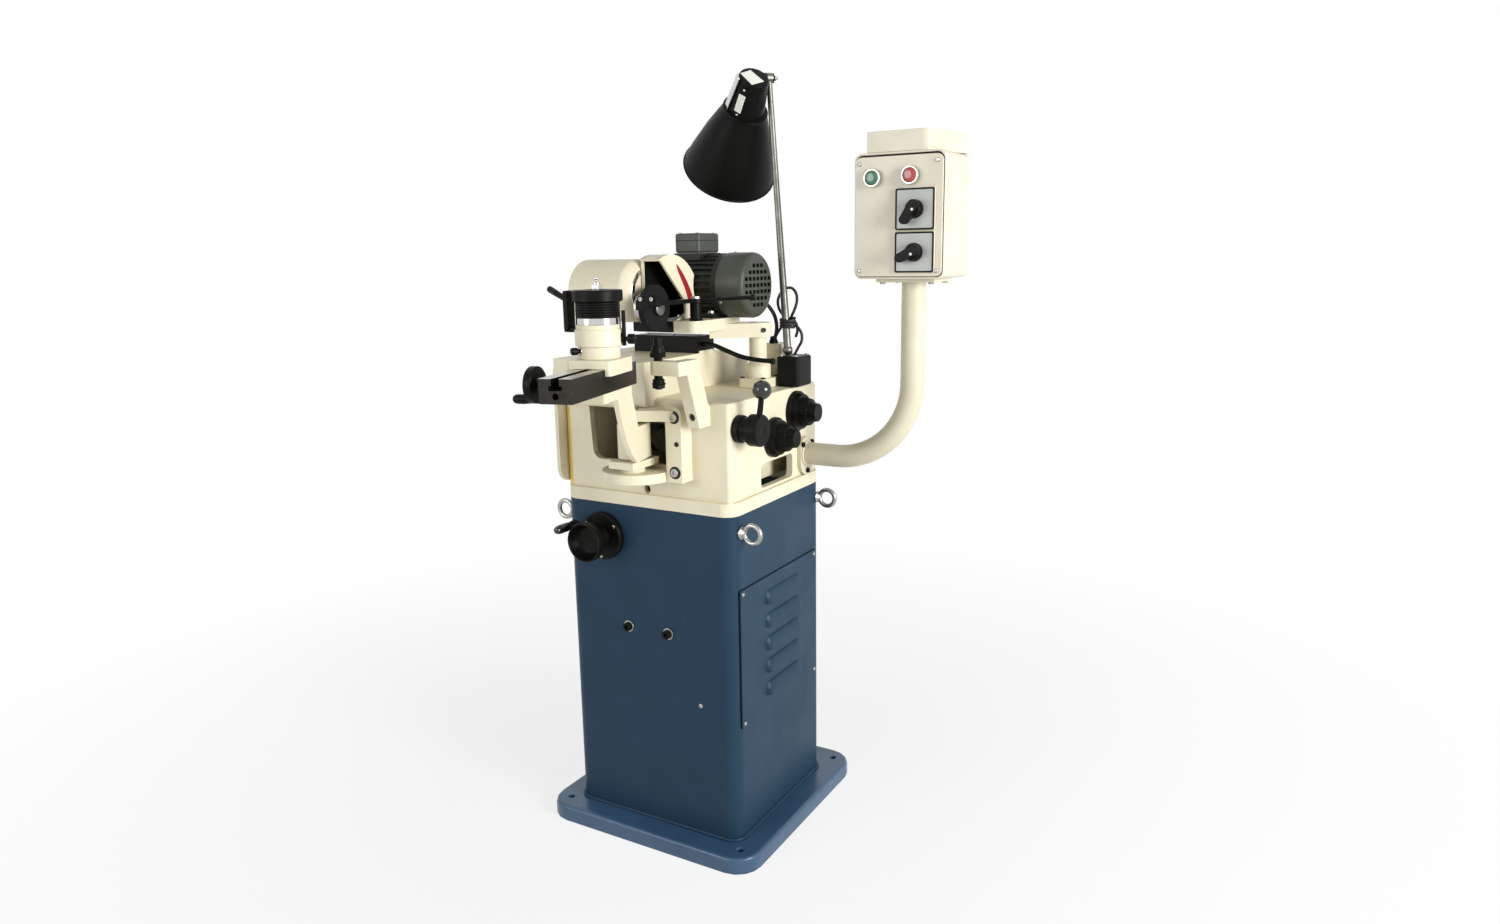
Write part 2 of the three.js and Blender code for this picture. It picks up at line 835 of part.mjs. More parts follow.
// A closed solid from a three.js geometry
function solid(geometry) {
  geometry.deleteAttribute("normal");
  geometry.deleteAttribute("uv");
  const merged = mergeVertices(geometry, 1e-4);
  return new wasm.Manifold(
    new wasm.Mesh({
      numProp: 3,
      vertProperties: merged.attributes.position.array,
      triVerts: new Uint32Array(merged.index.array),
    }),
  );
}

const join = (...solids) => wasm.Manifold.union(solids);
const cut = (body, ...tools) => body.subtract(wasm.Manifold.union(tools));

// A straight-edged block between three pairs of limits
function block(x0, x1, y0, y1, z0, z1) {
  const geometry = new THREE.BoxGeometry(x1 - x0, y1 - y0, z1 - z0);
  geometry.translate((x0 + x1) / 2, (y0 + y1) / 2, (z0 + z1) / 2);
  return solid(geometry);
}

// An outline given as [across, up] pairs, drawn out along an axis: across is X (Y along X), up is Z (Y along Z)
function drawn(outline, axis, from, to, edge = 0) {
  const shape = new THREE.Shape(outline.map(([a, b]) => new THREE.Vector2(a, b)));
  const geometry = new THREE.ExtrudeGeometry(shape, {
    depth: to - from - 2 * edge,
    bevelEnabled: edge > 0,
    bevelThickness: edge,
    bevelSize: edge,
    bevelOffset: -edge,
    bevelSegments: 2,
  });
  geometry.translate(0, 0, edge);
  if (axis === alongY) {
    geometry.rotateX(Math.PI / 2);
    geometry.translate(0, to, 0);
  } else if (axis === alongX) {
    geometry.applyMatrix4(new THREE.Matrix4().makeBasis(alongY, alongZ, alongX));
    geometry.translate(from, 0, 0);
  } else {
    geometry.translate(0, 0, from);
  }
  return solid(geometry);
}

// Points round an arc, in degrees
function arc(a, b, radius, start, end, steps) {
  return Array.from({ length: steps + 1 }, (_, i) => {
    const angle = (start + ((end - start) * i) / steps) * degree;
    return [a + radius * Math.cos(angle), b + radius * Math.sin(angle)];
  });
}

// A rectangle with round corners
function roundedRectangle(a0, a1, b0, b1, radius) {
  return [
    ...arc(a1 - radius, b0 + radius, radius, -90, 0, cornerSteps),
    ...arc(a1 - radius, b1 - radius, radius, 0, 90, cornerSteps),
    ...arc(a0 + radius, b1 - radius, radius, 90, 180, cornerSteps),
    ...arc(a0 + radius, b0 + radius, radius, 180, 270, cornerSteps),
  ];
}

// The outline of a belt round two circles
function beltOutline(a0, b0, radius0, a1, b1, radius1) {
  const heading = Math.atan2(b1 - b0, a1 - a0) / degree;
  const lean = Math.acos((radius0 - radius1) / Math.hypot(a1 - a0, b1 - b0)) / degree;
  return [
    ...arc(a0, b0, radius0, heading + lean, heading + 360 - lean, full / 2),
    ...arc(a1, b1, radius1, heading - lean, heading + lean, full / 2),
  ];
}

// A turned piece: [radius, height] pairs from its foot up, standing at a point along a direction
function turned(profile, at, direction = alongZ, sides = round) {
  const points = profile.map(([radius, height]) => new THREE.Vector2(radius, height));
  if (points[0].x > 0) points.unshift(new THREE.Vector2(0, points[0].y));
  if (points.at(-1).x > 0) points.push(new THREE.Vector2(0, points.at(-1).y));
  const geometry = new THREE.LatheGeometry(points, sides);
  geometry.applyQuaternion(new THREE.Quaternion().setFromUnitVectors(alongY, direction));
  geometry.translate(...at);
  return solid(geometry);
}

// A plain round bar between two points
function rod(radius, from, to, sides = round) {
  const start = new THREE.Vector3(...from);
  const way = new THREE.Vector3(...to).sub(start);
  const length = way.length();
  return turned([[radius, 0], [radius, length]], from, way.normalize(), sides);
}

// A ball
function ball(radius, at, sides = round) {
  const geometry = new THREE.SphereGeometry(radius, sides, sides / 2);
  geometry.translate(...at);
  return solid(geometry);
}

// A round bar along a smooth curve through points
function bentBar(radius, points, steps, sides) {
  const path = new THREE.CatmullRomCurve3(points.map((p) => new THREE.Vector3(...p)), false, "centripetal");
  const ring = new THREE.Shape(arc(0, 0, radius, 0, 360 - 360 / sides, sides - 1).map(([a, b]) => new THREE.Vector2(a, b)));
  return solid(new THREE.ExtrudeGeometry(ring, { steps, bevelEnabled: false, extrudePath: path }));
}

const machine = new THREE.Group();
const table = new THREE.Group();
table.position.set(hingeX, hingeY, 0);
table.rotation.z = swingYawDegrees * degree;
machine.add(table);

// One named piece in the model
function piece(name, shape, finish, parent = machine) {
  const { vertProperties, triVerts } = shape.getMesh();
  const geometry = new THREE.BufferGeometry();
  geometry.setAttribute("position", new THREE.BufferAttribute(new Float32Array(vertProperties), 3));
  geometry.setIndex(new THREE.BufferAttribute(new Uint32Array(triVerts), 1));
  const mesh = new THREE.Mesh(geometry, new THREE.MeshStandardMaterial(finish));
  mesh.name = name;
  parent.add(mesh);
}

// Base plate: a cast slab with four anchor holes
const baseFront = baseShift - baseDepth / 2;
const baseRear = baseShift + baseDepth / 2;
const baseOutline = roundedRectangle(-baseWidth / 2, baseWidth / 2, baseFront, baseRear, baseCorner);
const anchorX = baseWidth / 2 - anchorInset;
const anchorHole = (x, y) => rod(anchorRadius, [x, y, -overrun], [x, y, baseThickness + overrun], coarse);
piece(
  "base_plate",
  cut(
    join(
      drawn(baseOutline, alongZ, 0, baseThickness, baseEdge),
      drawn(baseOutline, alongZ, 0, baseThickness - baseEdge),
    ),
    anchorHole(-anchorX, baseFront + anchorInset),
    anchorHole(anchorX, baseFront + anchorInset),
    anchorHole(anchorX, baseRear - anchorInset),
    anchorHole(-anchorX, baseRear - anchorInset),
  ),
  cabinetBlue,
);

// Cabinet: a welded shell with a feed shelf, an access opening behind the panel and an opening in its top
const innerX = sideX - cabinetWall;
const innerY = frontY - cabinetWall;
const innerCorner = cabinetCorner - cabinetWall;
const frontWheelBore = rod(
  frontShaftRadius + gap, [frontWheelX, -frontY - overrun, frontWheelHeight], [frontWheelX, -innerY + overrun, frontWheelHeight], full);
piece(
  "cabinet_shell",
  cut(
    join(
      cut(
        drawn(roundedRectangle(-sideX, sideX, -frontY, frontY, cabinetCorner), alongZ, baseThickness + gap, cabinetTop),
        drawn(roundedRectangle(-innerX, innerX, -innerY, innerY, innerCorner), alongZ, 0, cabinetTop - cabinetRoof),
      ),
      drawn(
        roundedRectangle(-innerX - cabinetWall / 2, innerX + cabinetWall / 2, -innerY - cabinetWall / 2, innerY + cabinetWall / 2, innerCorner),
        alongZ, shelfHeight - shelfThickness, shelfHeight),
    ),
    drawn(
      roundedRectangle(-roofOpeningWidth / 2, roofOpeningWidth / 2, -roofOpeningDepth / 2, roofOpeningDepth / 2, roofOpeningCorner),
      alongZ, cabinetTop - cabinetRoof - overrun, cabinetTop + overrun),
    block(innerX - overrun, sideX + overrun, panelFront + panelLap, panelRear - panelLap, panelBottom + panelLap, panelTop - panelLap),
    frontWheelBore,
  ),
  cabinetBlue,
);

// Louvred panel: a sheet with five pressed louvres, open downwards
const panelFace = sideX + gap + panelThickness;
const louvreHoods = [];
const louvreSlots = [];
for (let i = 0; i < louvreCount; i++) {
  const foot = louvreFirst + i * louvrePitch;
  const reach = panelFace + louvreDepth;
  const sheet = sideX + gap;
  louvreHoods.push(
    drawn([[sheet, foot], [reach, foot], [reach, foot + louvreLip], [sheet, foot + louvreHeight]].map(([x, z]) => [x, z]),
      alongY, louvreFront, louvreRear));
  louvreSlots.push(
    drawn(
      [
        [sheet - overrun, foot + louvreLip],
        [reach - louvreWall, foot - overrun],
        [reach - louvreWall, foot + louvreLip - louvreWall],
        [sheet - overrun, foot + louvreHeight - louvreWall],
      ],
      alongY, louvreFront + louvreWall, louvreRear - louvreWall));
}
piece(
  "louvre_panel",
  cut(
    join(
      drawn(roundedRectangle(panelFront, panelRear, panelBottom, panelTop, panelCorner), alongX, sideX + gap, panelFace),
      ...louvreHoods,
    ),
    ...louvreSlots,
  ),
  cabinetBlue,
);

// Lifting eyes: a ring, a collar and a shank screwed to each side
function liftingEye(name, side, y) {
  const ringX = side * (sideX + gap + eyeCollarLength + eyeRingRadius);
  const ring = new THREE.TorusGeometry(eyeRingRadius, eyeBarRadius, eyeSides, round);
  ring.rotateX(Math.PI / 2);
  ring.translate(ringX, y, eyeHeight);
  const wall = side * (sideX + gap);
  piece(
    name,
    join(solid(ring), rod(eyeCollarRadius, [wall, y, eyeHeight], [wall + side * eyeCollarLength, y, eyeHeight], coarse)),
    steel,
  );
}
liftingEye("lift_eye_right_front", 1, eyeFront);
liftingEye("lift_eye_right_rear", 1, eyeRear);
liftingEye("lift_eye_left_front", -1, eyeFront);
liftingEye("lift_eye_left_rear", -1, eyeRear);

// Body casting: a hollow box with a foot flange, a raised block on the left and the openings of the mechanism
const hollowX = wallX - bodyWall;
const hollowY = wallY - bodyWall;
const camshaftBore = rod(
  camshaftRadius + gap, [bearingWebLeft - overrun, camshaftY, camshaftHeight],
  [bearingWebRight + bearingWebThickness + overrun, camshaftY, camshaftHeight], full);
const sideBore = (y, z) => rod(knobShaftRadius + gap, [hollowX - overrun, y, z], [wallX + overrun, y, z], full);
const gland = ([x, y]) => rod(glandRadius, [x, y, cableBoxTop - glandDepth], [x, y, cableBoxTop + overrun], coarse);
piece(
  "body_casting",
  cut(
    join(
      cut(
        join(
          drawn(roundedRectangle(-sideX, sideX, -frontY, frontY, cabinetCorner), alongZ, cabinetTop + gap, bodyFlangeTop),
          drawn(roundedRectangle(-wallX, wallX, -wallY, wallY, bodyCorner), alongZ, bodyFlangeTop - bodyRecess, bodyTop, bodyEdge),
          drawn(
            [[blockFront, bodyTop - bodyWall], [wallY, bodyTop - bodyWall], [wallY, blockSlopeHeight - bodyRecess], [blockSlopeEnd, blockSlopeHeight],
              [blockSlopeStart, blockTop], [blockFront, blockTop]],
            alongX, -wallX, blockRight),
          block(slideLeft, blockRight, wayFront + wayWall, wayRear - wayWall, blockTop - slideHeight, blockTop + slideHeight - gap),
          drawn(roundedRectangle(cableBoxLeft, cableBoxRight, cableBoxFront, cableBoxRear, cableBoxCorner), alongZ, bodyTop - bodyEdge, cableBoxTop),
        ),
        block(-hollowX, hollowX, -hollowY, hollowY, cabinetTop - overrun, bodyTop - bodyWall),
        block(-hollowX, blockRight - bodyWall, -hollowY, hollowY, bodyTop - bodyWall - overrun, blockHollowTop),
      ),
      block(bearingWebLeft, bearingWebLeft + bearingWebThickness, -wallY + bodyWall / 2, wallY - bodyWall / 2, bodyFlangeTop, bodyTop - bodyWall / 2),
      block(bearingWebRight, bearingWebRight + bearingWebThickness, -wallY + bodyWall / 2, wallY - bodyWall / 2, bodyFlangeTop, bodyTop - bodyWall / 2),
      block(bearingWebLeft, bearingBlockRight, bearingBlockFront, bearingBlockRear, bodyFlangeTop, bearingBlockTop),
    ),
    block(bearingWebLeft + bearingWebThickness, bearingBlockLeft, bearingBlockFront - overrun, bearingBlockRear + overrun, bodyFlangeTop + bodyWall, bearingBlockTop + overrun),
    drawn([...arc(openingLeftBottom + openingCorner, openingBottom + openingCorner, openingCorner, 180, 270, cornerSteps), [openingRight, openingBottom], [openingRight, openingTop], [openingLeftTop, openingTop]],
      alongY, -wallY - overrun, -hollowY + overrun),
    drawn(roundedRectangle(windowFront, windowRear, windowBottom, windowTop, windowCorner), alongX, hollowX - overrun, wallX + overrun),
    rod(frontHoleRadius, [frontHoleX, -wallY - overrun, frontHoleHeight], [frontHoleX, -hollowY + overrun, frontHoleHeight], coarse),
    rod(bearingBoreRadius, [bearingBoreX, bearingBlockFront - overrun, bearingBoreHeight], [bearingBoreX, bearingBlockRear + overrun, bearingBoreHeight], coarse),
    camshaftBore,
    sideBore(leverY, leverHeight),
    sideBore(feedKnobY, feedKnobHeight),
    sideBore(depthKnobY, depthKnobHeight),
    rod(tubeBore, [hollowX - overrun, tubeY, tubeHeight], [wallX + overrun, tubeY, tubeHeight]),
    gland(motorLeadRoute.at(-1)),
  ),
  cream,
);

// Left cover: a plate over the left side of the body
piece(
  "left_cover",
  drawn(
    roundedRectangle(blockFront + coverInset, wallY - coverInset, coverBottom, coverTop, coverCorner),
    alongX, -wallX - gap - coverThickness, -wallX - gap),
  cream,
);

// Hinge bracket: a wall plate with an upper lug, a foot block and a half-round lower lug
const bracketBack = -wallY - gap;
const hingeBore = rod(pinRadius + gap, [hingeX, hingeY, pinBottom - overrun], [hingeX, hingeY, pinTop + overrun]);
piece(
  "hinge_bracket",
  cut(
    join(
      drawn(
        [
          [bracketPlateLeft, lowerLugBottom],
          [bracketPlateRight, lowerLugBottom],
          ...arc(bracketPlateRight - bracketPlateCorner, bracketPlateTop - bracketPlateCorner, bracketPlateCorner, 0, 90, cornerSteps),
          [bracketPlateLeft, bracketPlateTop],
        ],
        alongY, bracketPlateFront, bracketBack),
      drawn(
        [
          [bracketPlateRight, lugFrontRight],
          [bracketPlateRight, bracketBack],
          [hingeX, bracketBack],
          ...arc(hingeX, hingeY, lugRadius, 140, 290, cornerSteps * 2),
        ],
        alongZ, lugBottom, lugTop),
      drawn(
        [[bracketPlateRight, bracketBack], ...arc(lowerLugX, lowerLugCentre, lowerLugRadius, 180, 360, cornerSteps * 3).reverse(),
          [lowerLugX - lowerLugRadius, bracketBack]].reverse(),
        alongZ, lowerLugBottom, lowerLugTop),
      block(footLeft, footRight, footFront, footRear, footBottom, footTop),
      rod(lugRadius, [hingeX, hingeY, lowerLugTop - overrun], [hingeX, hingeY, footBottom + overrun]),
    ),
    hingeBore,
  ),
  cream,
);

// Hinge pin: a steel pin with a head on the upper lug
piece(
  "hinge_pin",
  turned(
    [[pinRadius, pinBottom], [pinRadius, lugTop + gap], [pinHeadRadius, lugTop + gap], [pinHeadRadius, lugTop + gap + pinHeadHeight]],
    [hingeX, hingeY, 0]),
  steel,
);

// Swing arm: a barrel on the pin, a curved web and the flange that carries the rail
const flangeTop = railBottom - gap;
const flangeBottom = flangeTop - armFlangeThickness;
const webTop = flangeBottom + webThickness / 2;
const tableBore = (bottom, top) => rod(pinRadius + gap, [0, 0, bottom - overrun], [0, 0, top + overrun]);
const forward = (outline) => outline.map(([t, z]) => [-t, z]).reverse();
piece(
  "swing_arm",
  cut(
    join(
      rod(barrelRadius, [0, 0, barrelBottom], [0, 0, barrelTop]),
      drawn(
        forward([
          [0, barrelBottom], ...webFrontShares.map(([reach, rise]) => [towerForward * reach, barrelBottom + (webTop - barrelBottom) * rise]),
          [webBack, webTop], [webBack, flangeBottom], [webBackLow, barrelTop], [0, barrelTop],
        ]),
        alongX, tableHalfWidth - webThickness, tableHalfWidth),
      block(0, tableHalfWidth, -barrelRadius, barrelFlatReach, barrelBottom, barrelTop),
      block(-tableHalfWidth, tableHalfWidth, -armFlangeFar, -armFlangeNear, flangeBottom, flangeTop),
    ),
    tableBore(barrelBottom, barrelTop),
  ),
  cream,
  table,
);

// Rail: a ground bar with a T slot in its top, a bore for the pinion and a hole in its end
piece(
  "rail",
  cut(
    block(-tableHalfWidth, tableHalfWidth, -railFar, -railNear, railBottom, railTop),
    block(-slotHalfWidth, slotHalfWidth, -railFar - overrun, -railNear + overrun, railTop - slotDepth, railTop + overrun),
    block(-slotHeadHalfWidth, slotHeadHalfWidth, -railFar - overrun, -railNear + overrun, railTop - slotDepth - slotHeadDepth, railTop - slotDepth),
    rod(pinionRadius + gap, [-tableHalfWidth - overrun, -railWheelForward, railWheelHeight], [pinionEnd + gap, -railWheelForward, railWheelHeight]),
    rod(endHoleRadius, [0, -railFar - overrun, endHoleHeight], [0, -railFar + endHoleDepth, endHoleHeight], coarse),
  ),
  blackSteel,
  table,
);

// Carriage: the saddle that slides on the rail
const saddleBottom = railTop + gap;
const saddleTop = saddleBottom + saddleThickness;
const saddleNear = towerForward - saddleLength / 2;
const saddleFar = towerForward + saddleLength / 2;
piece(
  "carriage",
  cut(
    drawn(roundedRectangle(-saddleHalfWidth, saddleHalfWidth, -saddleFar, -saddleNear, saddleCorner), alongZ, saddleBottom - saddleLip, saddleTop),
    block(-tableHalfWidth - gap, tableHalfWidth + gap, -saddleFar - overrun, -saddleNear + overrun, saddleBottom - saddleLip - overrun, saddleBottom),
  ),
  cream,
  table,
);

// Arbor housing: a stepped cylinder on the carriage, with the side plate of the clamp lever
const tower = [0, -towerForward, 0];
const sidePlateFar = sidePlateNear + sidePlateThickness;
piece(
  "arbor_housing",
  join(
    turned(
      [
        [housingFootRadius, saddleTop + gap], [housingFootRadius, housingFootTop], [housingRadius, housingFootTop],
        [housingRadius, housingTop - housingStep], [housingRadius - arborGroove, housingTop - housingStep], [housingRadius - arborGroove, housingTop],
      ],
      tower, alongZ, full),
    block(sidePlateNear, sidePlateFar, -towerForward - sidePlateHalfLength, -towerForward + sidePlateHalfLength, sidePlateFoot, sidePlateTop),
    block(sidePlateNear, -housingFootRadius, -towerForward - sidePlateHalfLength, -towerForward + sidePlateHalfLength, sidePlateFoot, sideArmTop),
  ),
  cream,
  table,
);

// Arbor spindle: a chromed ring, a grooved sleeve and the stud that takes the clamp
const ribHeight = (arborTop - arborBottomRing) / arborRibCount;
const sleeveProfile = [];
for (let i = 0; i < arborRibCount; i++) {
  const foot = arborBottomRing + i * ribHeight;
  sleeveProfile.push([arborRadius - arborGroove, foot], [arborRadius, foot + arborGroove], [arborRadius, foot + ribHeight - arborGroove]);
}
piece(
  "arbor_spindle",
  turned(
    [[arborRadius, housingTop + gap], [arborRadius, arborBottomRing - arborGroove], ...sleeveProfile, [arborRadius - arborGroove, arborTop],
      [studRadius, arborTop], [studRadius, studTop]],
    tower, alongZ, full),
  blackSteel,
  table,
);

// Clamp flange and nut that hold the blade on the arbor
piece(
  "clamp_flange",
  cut(
    turned(
      [[clampRadius - clampEdge, arborTop + gap], [clampRadius, arborTop + gap + clampEdge], [clampRadius, clampTop - clampEdge],
        [clampRadius - clampEdge, clampTop]],
      tower, alongZ, full),
    rod(studRadius + gap, [0, -towerForward, arborTop - overrun], [0, -towerForward, clampTop + overrun]),
  ),
  black,
  table,
);
piece(
  "clamp_nut",
  cut(
    turned([[nutRadius, clampTop + gap], [nutRadius, nutTop]], tower, alongZ, nutSides),
    rod(studRadius + gap, [0, -towerForward, clampTop - overrun], [0, -towerForward, nutTop + overrun]),
  ),
  steel,
  table,
);

// Rail handwheel: a dished disc with the pinion shaft that runs into the rail
const toLeft = alongX.clone().negate();
const railWheelCentre = [0, -railWheelForward, railWheelHeight];
const railGripHeight = railWheelHeight - railGripDrop;
piece(
  "rail_handwheel",
  cut(
    turned(
      [
        [pinionRadius, -pinionEnd], [pinionRadius, tableHalfWidth + railWheelRim], [railHubRadius, tableHalfWidth + railWheelRim],
        [railHubRadius, railWheelNear], [railWheelRadius, railWheelNear], [railWheelRadius, railWheelFar],
        [railWheelRadius - railWheelRim, railWheelFar], [railWheelRadius - railWheelRim, railWheelNear + railWheelRim],
        [railHubRadius, railWheelNear + railWheelRim], [railHubRadius, railWheelFar],
      ],
      railWheelCentre, toLeft, round),
    rod(railGripPin + gap, [-railWheelNear + overrun, -railWheelForward, railGripHeight], [-railWheelFar - overrun, -railWheelForward, railGripHeight], full),
  ),
  black,
  table,
);
piece(
  "rail_handwheel_grip",
  turned(
    [
      [railGripPin, railWheelNear + gap], [railGripPin, railWheelFar + gap], [railGripRadius - railGripPin / 2, railWheelFar + gap],
      [railGripRadius, railGripEnd - railGripRadius], [railGripRadius - railGripPin / 2, railGripEnd],
    ],
    [0, -railWheelForward, railGripHeight], toLeft, coarse),
  black,
  table,
);

// Column: foot plate, post with a boss and a cap
piece(
  "column",
  join(
    drawn(roundedRectangle(columnFootLeft, columnFootRight, columnFootFront, columnFootRear, columnFootCorner), alongZ, bodyTop + gap, bodyTop + columnFootHeight),
    turned(
      [
        [columnBossRadius, bodyTop + columnFootHeight / 2], [columnBossRadius, columnBossTop], [columnRadius, columnBossTop + columnCapHeight],
        [columnRadius, columnCapTop - columnCapHeight], [columnCapRadius, columnCapTop],
      ],
      [columnX, columnY, 0], alongZ, round),
  ),
  cream,
);

// Head arm: a casting from the column to under the guard and the motor
const postBore = rod(columnRadius + gap, [columnX, columnY, armHubBottom - overrun], [columnX, columnY, armTop + overrun], full);
piece(
  "head_arm",
  cut(
    join(
      drawn(roundedRectangle(armLeft, armRight, armFront, armRear, armCorner), alongZ, armBottom, armTop),
      drawn(
        [[armNeckLeft, armNeckFront], ...arc(columnX, columnY, armHubRadius, -50, 100, cornerSteps * 2), [armNeckLeft, armRear]],
        alongZ, armHubBottom, armHubTop),
    ),
    postBore,
    rod(armHubRadius, [columnX, columnY, armHubTop], [columnX, columnY, armTop + overrun]),
  ),
  cream,
);

// Head housing: a drum over the spindle and the case of the head belt behind it
const insideCase = beltOutline(drumY, drumHeight, drumRadius - housingWall, motorY, motorHeight, beltCaseRadius - housingWall);
const spindleAt = [0, spindleY, spindleHeight];
const motorAt = [0, motorY, motorHeight];
const acrossRod = (radius, [, y, z], left, right, sides) => rod(radius, [left, y, z], [right, y, z], sides);
piece(
  "head_housing",
  cut(
    join(
      turned(
        [[drumRadius, housingLeft], [drumRadius, drumRight - drumTaper], [(drumRadius + drumEndRadius) / 2 + housingWall, drumRight - drumTaper / 2],
          [drumEndRadius, drumRight]],
        [0, drumY, drumHeight], alongX, full),
      drawn(beltOutline(drumY, drumHeight, drumRadius, motorY, motorHeight, beltCaseRadius), alongX, housingLeft, beltCaseRight),
    ),
    drawn(insideCase, alongX, housingLeft + housingWall, beltCaseRight - housingWall),
    acrossRod(spindleBearingRadius + gap, spindleAt, beltCaseRight - housingWall - overrun, drumRight + overrun),
    acrossRod(motorShaftRadius + gap, motorAt, beltCaseRight - housingWall - overrun, beltCaseRight + overrun),
    block(housingLeft - overrun, drumRight + overrun, armFront - gap, armRear + overrun * 2, armBottom, armTop + gap),
  ),
  cream,
);

// Spindle: pulley, bearings, wheel flange and nut on one shaft
piece(
  "spindle",
  turned(
    [
      [spindleRadius, beltLeft - pulleySide * 2], [spindleRadius, beltLeft - pulleySide], [spindlePulleyRadius, beltLeft - pulleySide],
      [spindlePulleyRadius, beltRight + pulleySide], [spindleRadius, beltRight + pulleySide], [spindleRadius, spindleBearingLeft],
      [spindleBearingRadius, spindleBearingLeft], [spindleBearingRadius, spindleBearingRight], [spindleRadius, spindleBearingRight],
      [spindleRadius, wheelFlangeLeft], [wheelFlangeRadius, wheelFlangeLeft], [wheelFlangeRadius, wheelLeft], [spindleRadius, wheelLeft],
      [spindleRadius, wheelRight + gap], [wheelNutRadius, wheelRight + gap], [wheelNutRadius, wheelRight + wheelNutLength],
    ],
    spindleAt, alongX, round),
  steel,
);
piece(
  "grinding_wheel",
  cut(
    turned([[wheelRadius, wheelLeft + gap], [wheelRadius, wheelRight]], spindleAt, alongX, full),
    acrossRod(spindleRadius + gap, spindleAt, wheelLeft - overrun, wheelRight + overrun),
  ),
  abrasive,
);

// Wheel guard: a narrow left plate, a right plate cut back to show the wheel, and the band round them
const guardFloor = armTop + gap;
const guardCircle = arc(guardCentreY, guardCentreHeight, guardRadius, -90, 90, full / 2);
const guardBack = guardCircle.filter(([, z]) => z > guardFloor);
const guardTopFront = arc(guardCentreY, guardCentreHeight, guardRadius, 90, 113.5, cornerSteps);
const rightPlate = [[guardToeY, guardFloor], ...guardBack, ...guardTopFront, [guardMouthY, guardMouthTop], [guardMouthY, guardMouthBottom]];
const leftPlate = [[guardLeftFront, guardFloor], ...guardBack, ...guardTopFront.slice(0, -1), [guardLeftFront, guardFrontHeight]];
const bandInside = arc(guardCentreY, guardCentreHeight, guardRadius - guardBand, -90, 115, full / 2).filter(([, z]) => z > guardFloor + guardBand);
piece(
  "wheel_guard",
  cut(
    join(
      drawn(rightPlate, alongX, guardRight - guardRightThickness, guardRight),
      drawn(leftPlate, alongX, guardLeft, guardLeft + guardLeftThickness),
      cut(
        drawn([[guardFrontY, guardFloor], ...guardBack, ...guardTopFront], alongX, guardLeft, guardRight),
        drawn([[guardFrontY - overrun, guardFloor - overrun], [bandInside[0][0], guardFloor - overrun], ...bandInside, [guardFrontY - overrun, guardFrontHeight - guardBand]],
          alongX, guardLeft - overrun, guardRight + overrun),
      ),
    ),
    acrossRod(wheelFlangeRadius + guardFlangeClear, spindleAt, guardLeft - overrun, guardLeft + guardLeftThickness + overrun),
    acrossRod(motorRadius + guardMotorClear, motorAt, guardLeft - overrun, guardRight + overrun, full),
  ),
  cream,
);

// Motor: finned body with feet and a pad for the terminal box
const finPitch = 360 / finCount;
const finOutline = [];
for (let i = 0; i < finCount; i++) {
  const start = i * finPitch;
  const root = start + finPitch * finRootShare;
  finOutline.push(...arc(motorY, motorHeight, motorRadius, start, root, 1), ...arc(motorY, motorHeight, motorRadius - finDepth, root, start + finPitch, 1));
}
piece(
  "motor_body",
  cut(
    join(
      drawn(finOutline, alongX, motorLeft, motorRight - gap),
      block(motorFootLeft, motorFootRight, motorY - motorFootHalfWidth, motorY + motorFootHalfWidth - gap, armTop + gap, armTop + motorFootHeight),
      block(terminalLeft, terminalRight, terminalFront, terminalRear, motorHeight + motorRadius - finDepth * 4, boxPadTop),
    ),
    acrossRod(motorShaftRadius + gap, motorAt, motorLeft - overrun, motorRight + overrun),
  ),
  motorGrey,
);
piece(
  "terminal_box",
  drawn(roundedRectangle(terminalLeft, terminalRight, terminalFront, terminalRear, terminalCorner), alongZ, boxPadTop + gap, terminalTop, terminalEdge),
  motorGrey,
);

// Fan cover: a cup with a grille in its end
const grille = [];
for (let row = 0; row < fanHoleRows; row++) {
  for (let column = 0; column < fanHoleRows; column++) {
    const y = (column - (fanHoleRows - 1) / 2) * fanHolePitch;
    const z = (row - (fanHoleRows - 1) / 2) * fanHolePitch;
    if (Math.hypot(y, z) > fanHoleReach) continue;
    grille.push(
      block(fanCoverRight - fanCoverWall - overrun, fanCoverRight + overrun, motorY + y - fanHoleHalf, motorY + y + fanHoleHalf,
        motorHeight + z - fanHoleHalf, motorHeight + z + fanHoleHalf));
  }
}
piece(
  "fan_cover",
  cut(
    turned(
      [[fanCoverRadius, motorRight], [fanCoverRadius, fanCoverRight - fanCoverTaper], [fanCoverRadius - fanCoverTaper / 2, fanCoverRight - fanCoverTaper / 4],
        [fanCoverRadius - fanCoverTaper, fanCoverRight]],
      motorAt, alongX, full),
    turned(
      [[fanCoverRadius - fanCoverWall, motorRight - overrun], [fanCoverRadius - fanCoverWall, fanCoverRight - fanCoverTaper],
        [fanCoverRadius - fanCoverTaper, fanCoverRight - fanCoverWall]],
      motorAt, alongX, full),
    ...grille,
  ),
  motorGrey,
);

